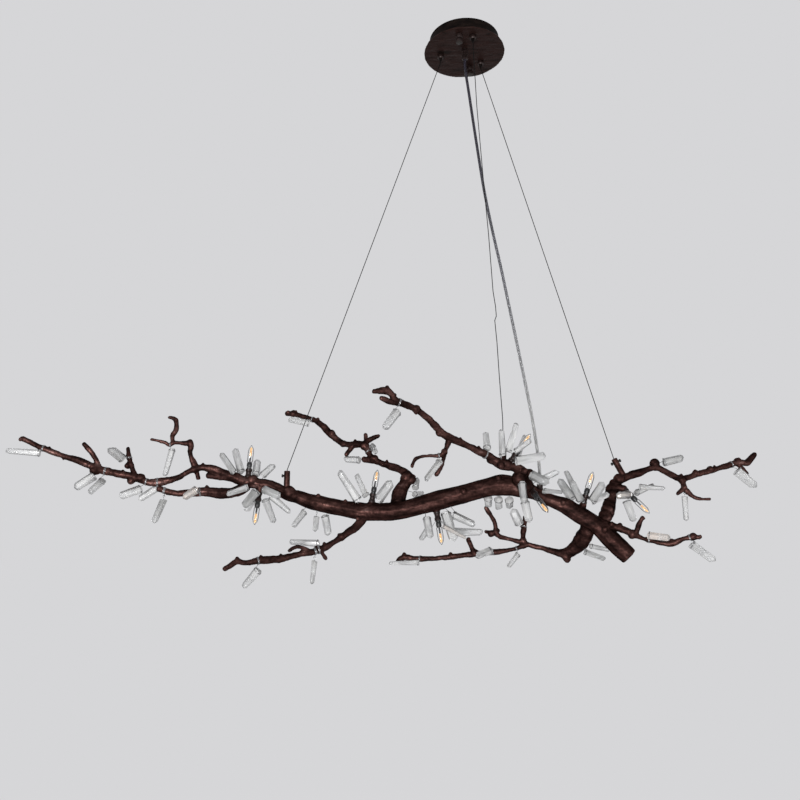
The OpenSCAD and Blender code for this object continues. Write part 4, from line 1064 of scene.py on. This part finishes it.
# %% Posts and bush
POST_LENGTHS = {"a": 0.033, "b": 0.024, "c": 0.034}
posts = []
for k, (top, way) in POST_TOPS.items():
    way = Vector(way).normalized()
    l = POST_LENGTHS[k]
    outline = [(0, 0), (0.0058, 0), (0.0055, 0.003), (0.0055, l - 0.0024), (0.0054, l - 0.0008),
               (0.0049, l), (0.00105, l), (0.00105, l - 0.014), (0, l - 0.014)]
    outline[3:3] = [(0.0055, 0.003 + (l - 0.0054) * j / 8) for j in range(1, 8)]
    posts.append(turned(f"post_{k}", outline, Vector(top) - way * l, way, forged, 40,
                        wave=lambda a, h: 1 + 0.035 * noise.noise(compass(a, h / 0.004, 2))))
seat(joined("cable_posts_turned", posts), "fixture", "bronze", "cable_posts")
bush = turned("cord_bush_turned", eased(mm((0, 0), (5.5, 0), (5.5, 13.5), (5, 14.2), (5, 15.8),
                                           (5.5, 16.5), (5.5, 20.8), (4.6, 22), (3.1, 22),
                                           (3.1, 13), (0, 13)), 0.0003),
              (0.121, -0.012, -0.912), UP, bronze_turned, 48)
seat(bush, "fixture", "bronze", "cord_bush")
print("posts and bush done")

# %% Set screws
black_oxide = scuffed("black_oxide", (0.02, 0.02, 0.021), 0.4, 0.6, 0.0015, 3, 0.3, 0.5)
for k in "abcd":
    j = joints[f"screw_{k}_turn"]
    way = Vector(j["axis"])
    at = Vector(j["pos_m"]) + way * 0.00135
    thread = [(0, 0), (0.0014, 0)] + repeated(8, 0.0007, (0.002, 0.0005), (0.0017, 0.00085))
    head = mm((2, 6), (2.8, 6), (3, 6.2), (3, 8), (2.7, 8.4))
    head += mm((1.2, 8.4), (1.2, 6.4), (0, 6.4))
    screw = turned(f"screw_{k}_shank", thread + head,
                   at, way, black_oxide, 48, wave=knurl(16, 0.05, 0.0061, 0.0083))
    seat(screw, f"screw_{k}", "screws", f"set_screw_{k}")
print("four set screws done")

# %% [markdown]
# ## Tie wires
# Thin bright wire holds the crystals. On a twig it is wound round and round, and then runs to the
# crystal's root; on a thick limb it comes out of a drilled hole. Rings laid over the bark would
# float or sink in its bumps. So rays are sent out from the middle of the limb to its skin, and the
# wire is laid a hair's breadth above the points they strike.

# %% Wind a wire round anything
def wound(skin, middle, axis, turns, lay, start, thick=0.0011, reach=0.02):
    """Points of a wire wound round the skin, about an axis through middle."""
    u = (start - axis * start.dot(axis)).normalized()
    v = axis.cross(u)
    line = []
    steps = int(turns * 22)
    for i in range(steps + 1):
        a = math.tau * turns * i / steps
        way = u * math.cos(a) + v * math.sin(a)
        at = middle + axis * (lay * (i / steps - 0.5) * turns)
        far = skin.ray_cast(at, way, reach)[3]
        r = (far if far else 0.005) + thick * 0.5
        line.append(at + way * r)
    return line


branch_skin = skin_of(branch, bpy.data.objects["holder_sleeves"])
limb_points = read(branch.data)


def limb_at(spot, normal):
    """Middle, direction and thickness of the limb whose surface is at spot."""
    hit = branch_skin.ray_cast(spot - normal * 0.0006, -normal, 0.06)
    thick = (hit[3] or 0.01) + 0.0006
    middle = spot - normal * thick / 2
    away = np.linalg.norm(limb_points - np.array(middle), axis=1)
    near = limb_points[away < thick * 0.75 + 0.004]
    if len(near) < 12:
        return middle, None, thick
    axis = Vector(np.linalg.svd(near - near.mean(0), full_matrices=False)[2][0])
    return middle, axis.normalized(), thick


print("wire winder ready")

# %% Tie the fixed crystals
TIE_R = 0.0005
strands = []


def strand(name, line, radius=TIE_R, sides=8):
    strands.append(swept(name, line, radius, bright_wire, sides=sides))


for number, (stone, root, tip) in enumerate(tied):
    axis = (tip - root).normalized()
    spot, normal = branch_skin.find_nearest(root)[:2]
    middle, along, thick = limb_at(spot, normal)
    stone_skin = skin_of(stone)
    collar = wound(stone_skin, root + axis * 0.0035, axis, 1.6, 0.0012, spot - root, 0.0008, 0.015)
    bridge = [spot - normal * 0.001, spot.lerp(collar[0], 0.5) + normal * 0.0006]
    if along is not None and thick < 0.017:
        coil = wound(branch_skin, middle, along, 2.3, 0.0014, middle - spot, 0.001, 0.02)[:-3]
        strand(f"coil_{number}", coil)
        bridge[0] = min(coil, key=lambda p: (p - collar[0]).length)
    line = smooth_line(bridge + collar, 2)
    strand(f"tie_{number}", line)
print("tied", len(tied), "crystals with", len(strands), "wires")

# %% Hooks of the hanging crystals
for n in range(1, 5):
    hook = Vector(joints[f"swing_{n}_turn"]["pos_m"])
    spot = branch_skin.ray_cast(hook, Vector((0, 0, 1)), 0.03)[0]
    middle, along, thick = limb_at(spot, Vector((0, 0, -1)))
    if along is not None and thick < 0.022:
        coil = wound(branch_skin, middle, along, 2.4, 0.0014, Vector((0, 0, 1)), 0.0011, 0.03)
        strand(f"hook_coil_{n}", coil, 0.00055)
    shape = [Vector((0, 0.0012, (spot.z - hook.z) + 0.0004)), Vector((0, 0.0026, 0.0022)),
             Vector((0, 0.003, 0.0006)), Vector((0, 0.0022, 0.0)), Vector((0, 0, 0)),
             Vector((0, -0.0022, 0.0)), Vector((0, -0.0029, 0.0007)), Vector((0, -0.0029, 0.0016))]
    line = smooth_line([hook + p for p in shape], 4)
    strand(f"hook_{n}", line, 0.00052, 10)
seat(joined("tie_wires", strands), "fixture", "wire", "crystal_wires")
print("hooks done")

# %% [markdown]
# ## Floor, background and light
# The photograph has a plain pale grey ground and soft light from the front. A floor lies 2.4 m
# below the ceiling. The camera, gloss and glass see it and most of the world in one grey, so that
# little shows between them, and a part of the floor's own colour stays to take the shadow. Near
# the zenith the world darkens, as a studio's ceiling does, which gives the crystals their dark
# facets. One broad lamp in front lights the branch, and a weak one the side.

# %% Floor and world
GREY = Vector((0.672, 0.672, 0.686))
AMBIENT = 0.16
SHADED = 0.07
FLOOR_Z = -2.4
FLOOR_HALF = 60


def two_looks(material, lit, shown, share, output):
    """Joins two shaders: one lights the scene, the other is what the camera sees."""
    blend = add(material, "MixShader", {0: share, 1: lit, 2: shown})
    join(material, blend.outputs[0], material.node_tree.nodes[output].inputs[0])


pale = finish("pale_floor", GREY, 0.9, specular_ior_level=0.0)
own_light = GREY * (1 - SHADED * AMBIENT) / (1 - SHADED)
plain = add(pale, "Emission", {"Color": (*own_light, 1)})
two_looks(pale, shader_of(pale).outputs[0], plain.outputs[0],
          times(pale, seen(pale), 1 - SHADED), "Material Output")
corners = [(x * FLOOR_HALF, y * FLOOR_HALF, FLOOR_Z) for x, y in SQUARE]
floor = piece("floor", corners, [(0, 1, 2, 3)], pale, smooth=False)
# The floor and the world are plain, so no rays are aimed at them for their light
pale.cycles.emission_sampling = "NONE"

world = bpy.data.worlds.new("studio")
bpy.context.scene.world = world
world.cycles.sampling_method = "NONE"
world.use_nodes = True
sky = world.node_tree.nodes["Background"]
sky.inputs["Color"].default_value = (AMBIENT, AMBIENT, AMBIENT, 1)
up = add(world, "SeparateXYZ", {0: add(world, "TexCoord").outputs["Generated"]})
zenith = ramp(world, up.outputs["Z"], (0.86, GREY), (0.96, (0.12, 0.12, 0.13)))
backdrop = add(world, "Background", {"Color": zenith})
two_looks(world, sky.outputs[0], backdrop.outputs[0], seen(world), "World Output")
print("floor at 2.4 m under the ceiling")

# %% Lamps of the studio
def soft_lamp(name, at, to, size, power):
    data = bpy.data.lights.new(name, "AREA")
    data.shape = "DISK"
    data.size = size
    data.energy = power
    made = put(name, data)
    made.location = at
    made.rotation_euler = (Vector(to) - Vector(at)).to_track_quat("-Z", "Y").to_euler()


soft_lamp("front_light", (-0.5, -2.9, -1.35), (-0.1, 0, -0.8), 1.1, 66)
soft_lamp("side_light", (2.4, -1.0, -1.1), (0, 0, -0.9), 1.2, 7)
bpy.context.scene.view_settings.view_transform = "Standard"
print("two studio lamps")
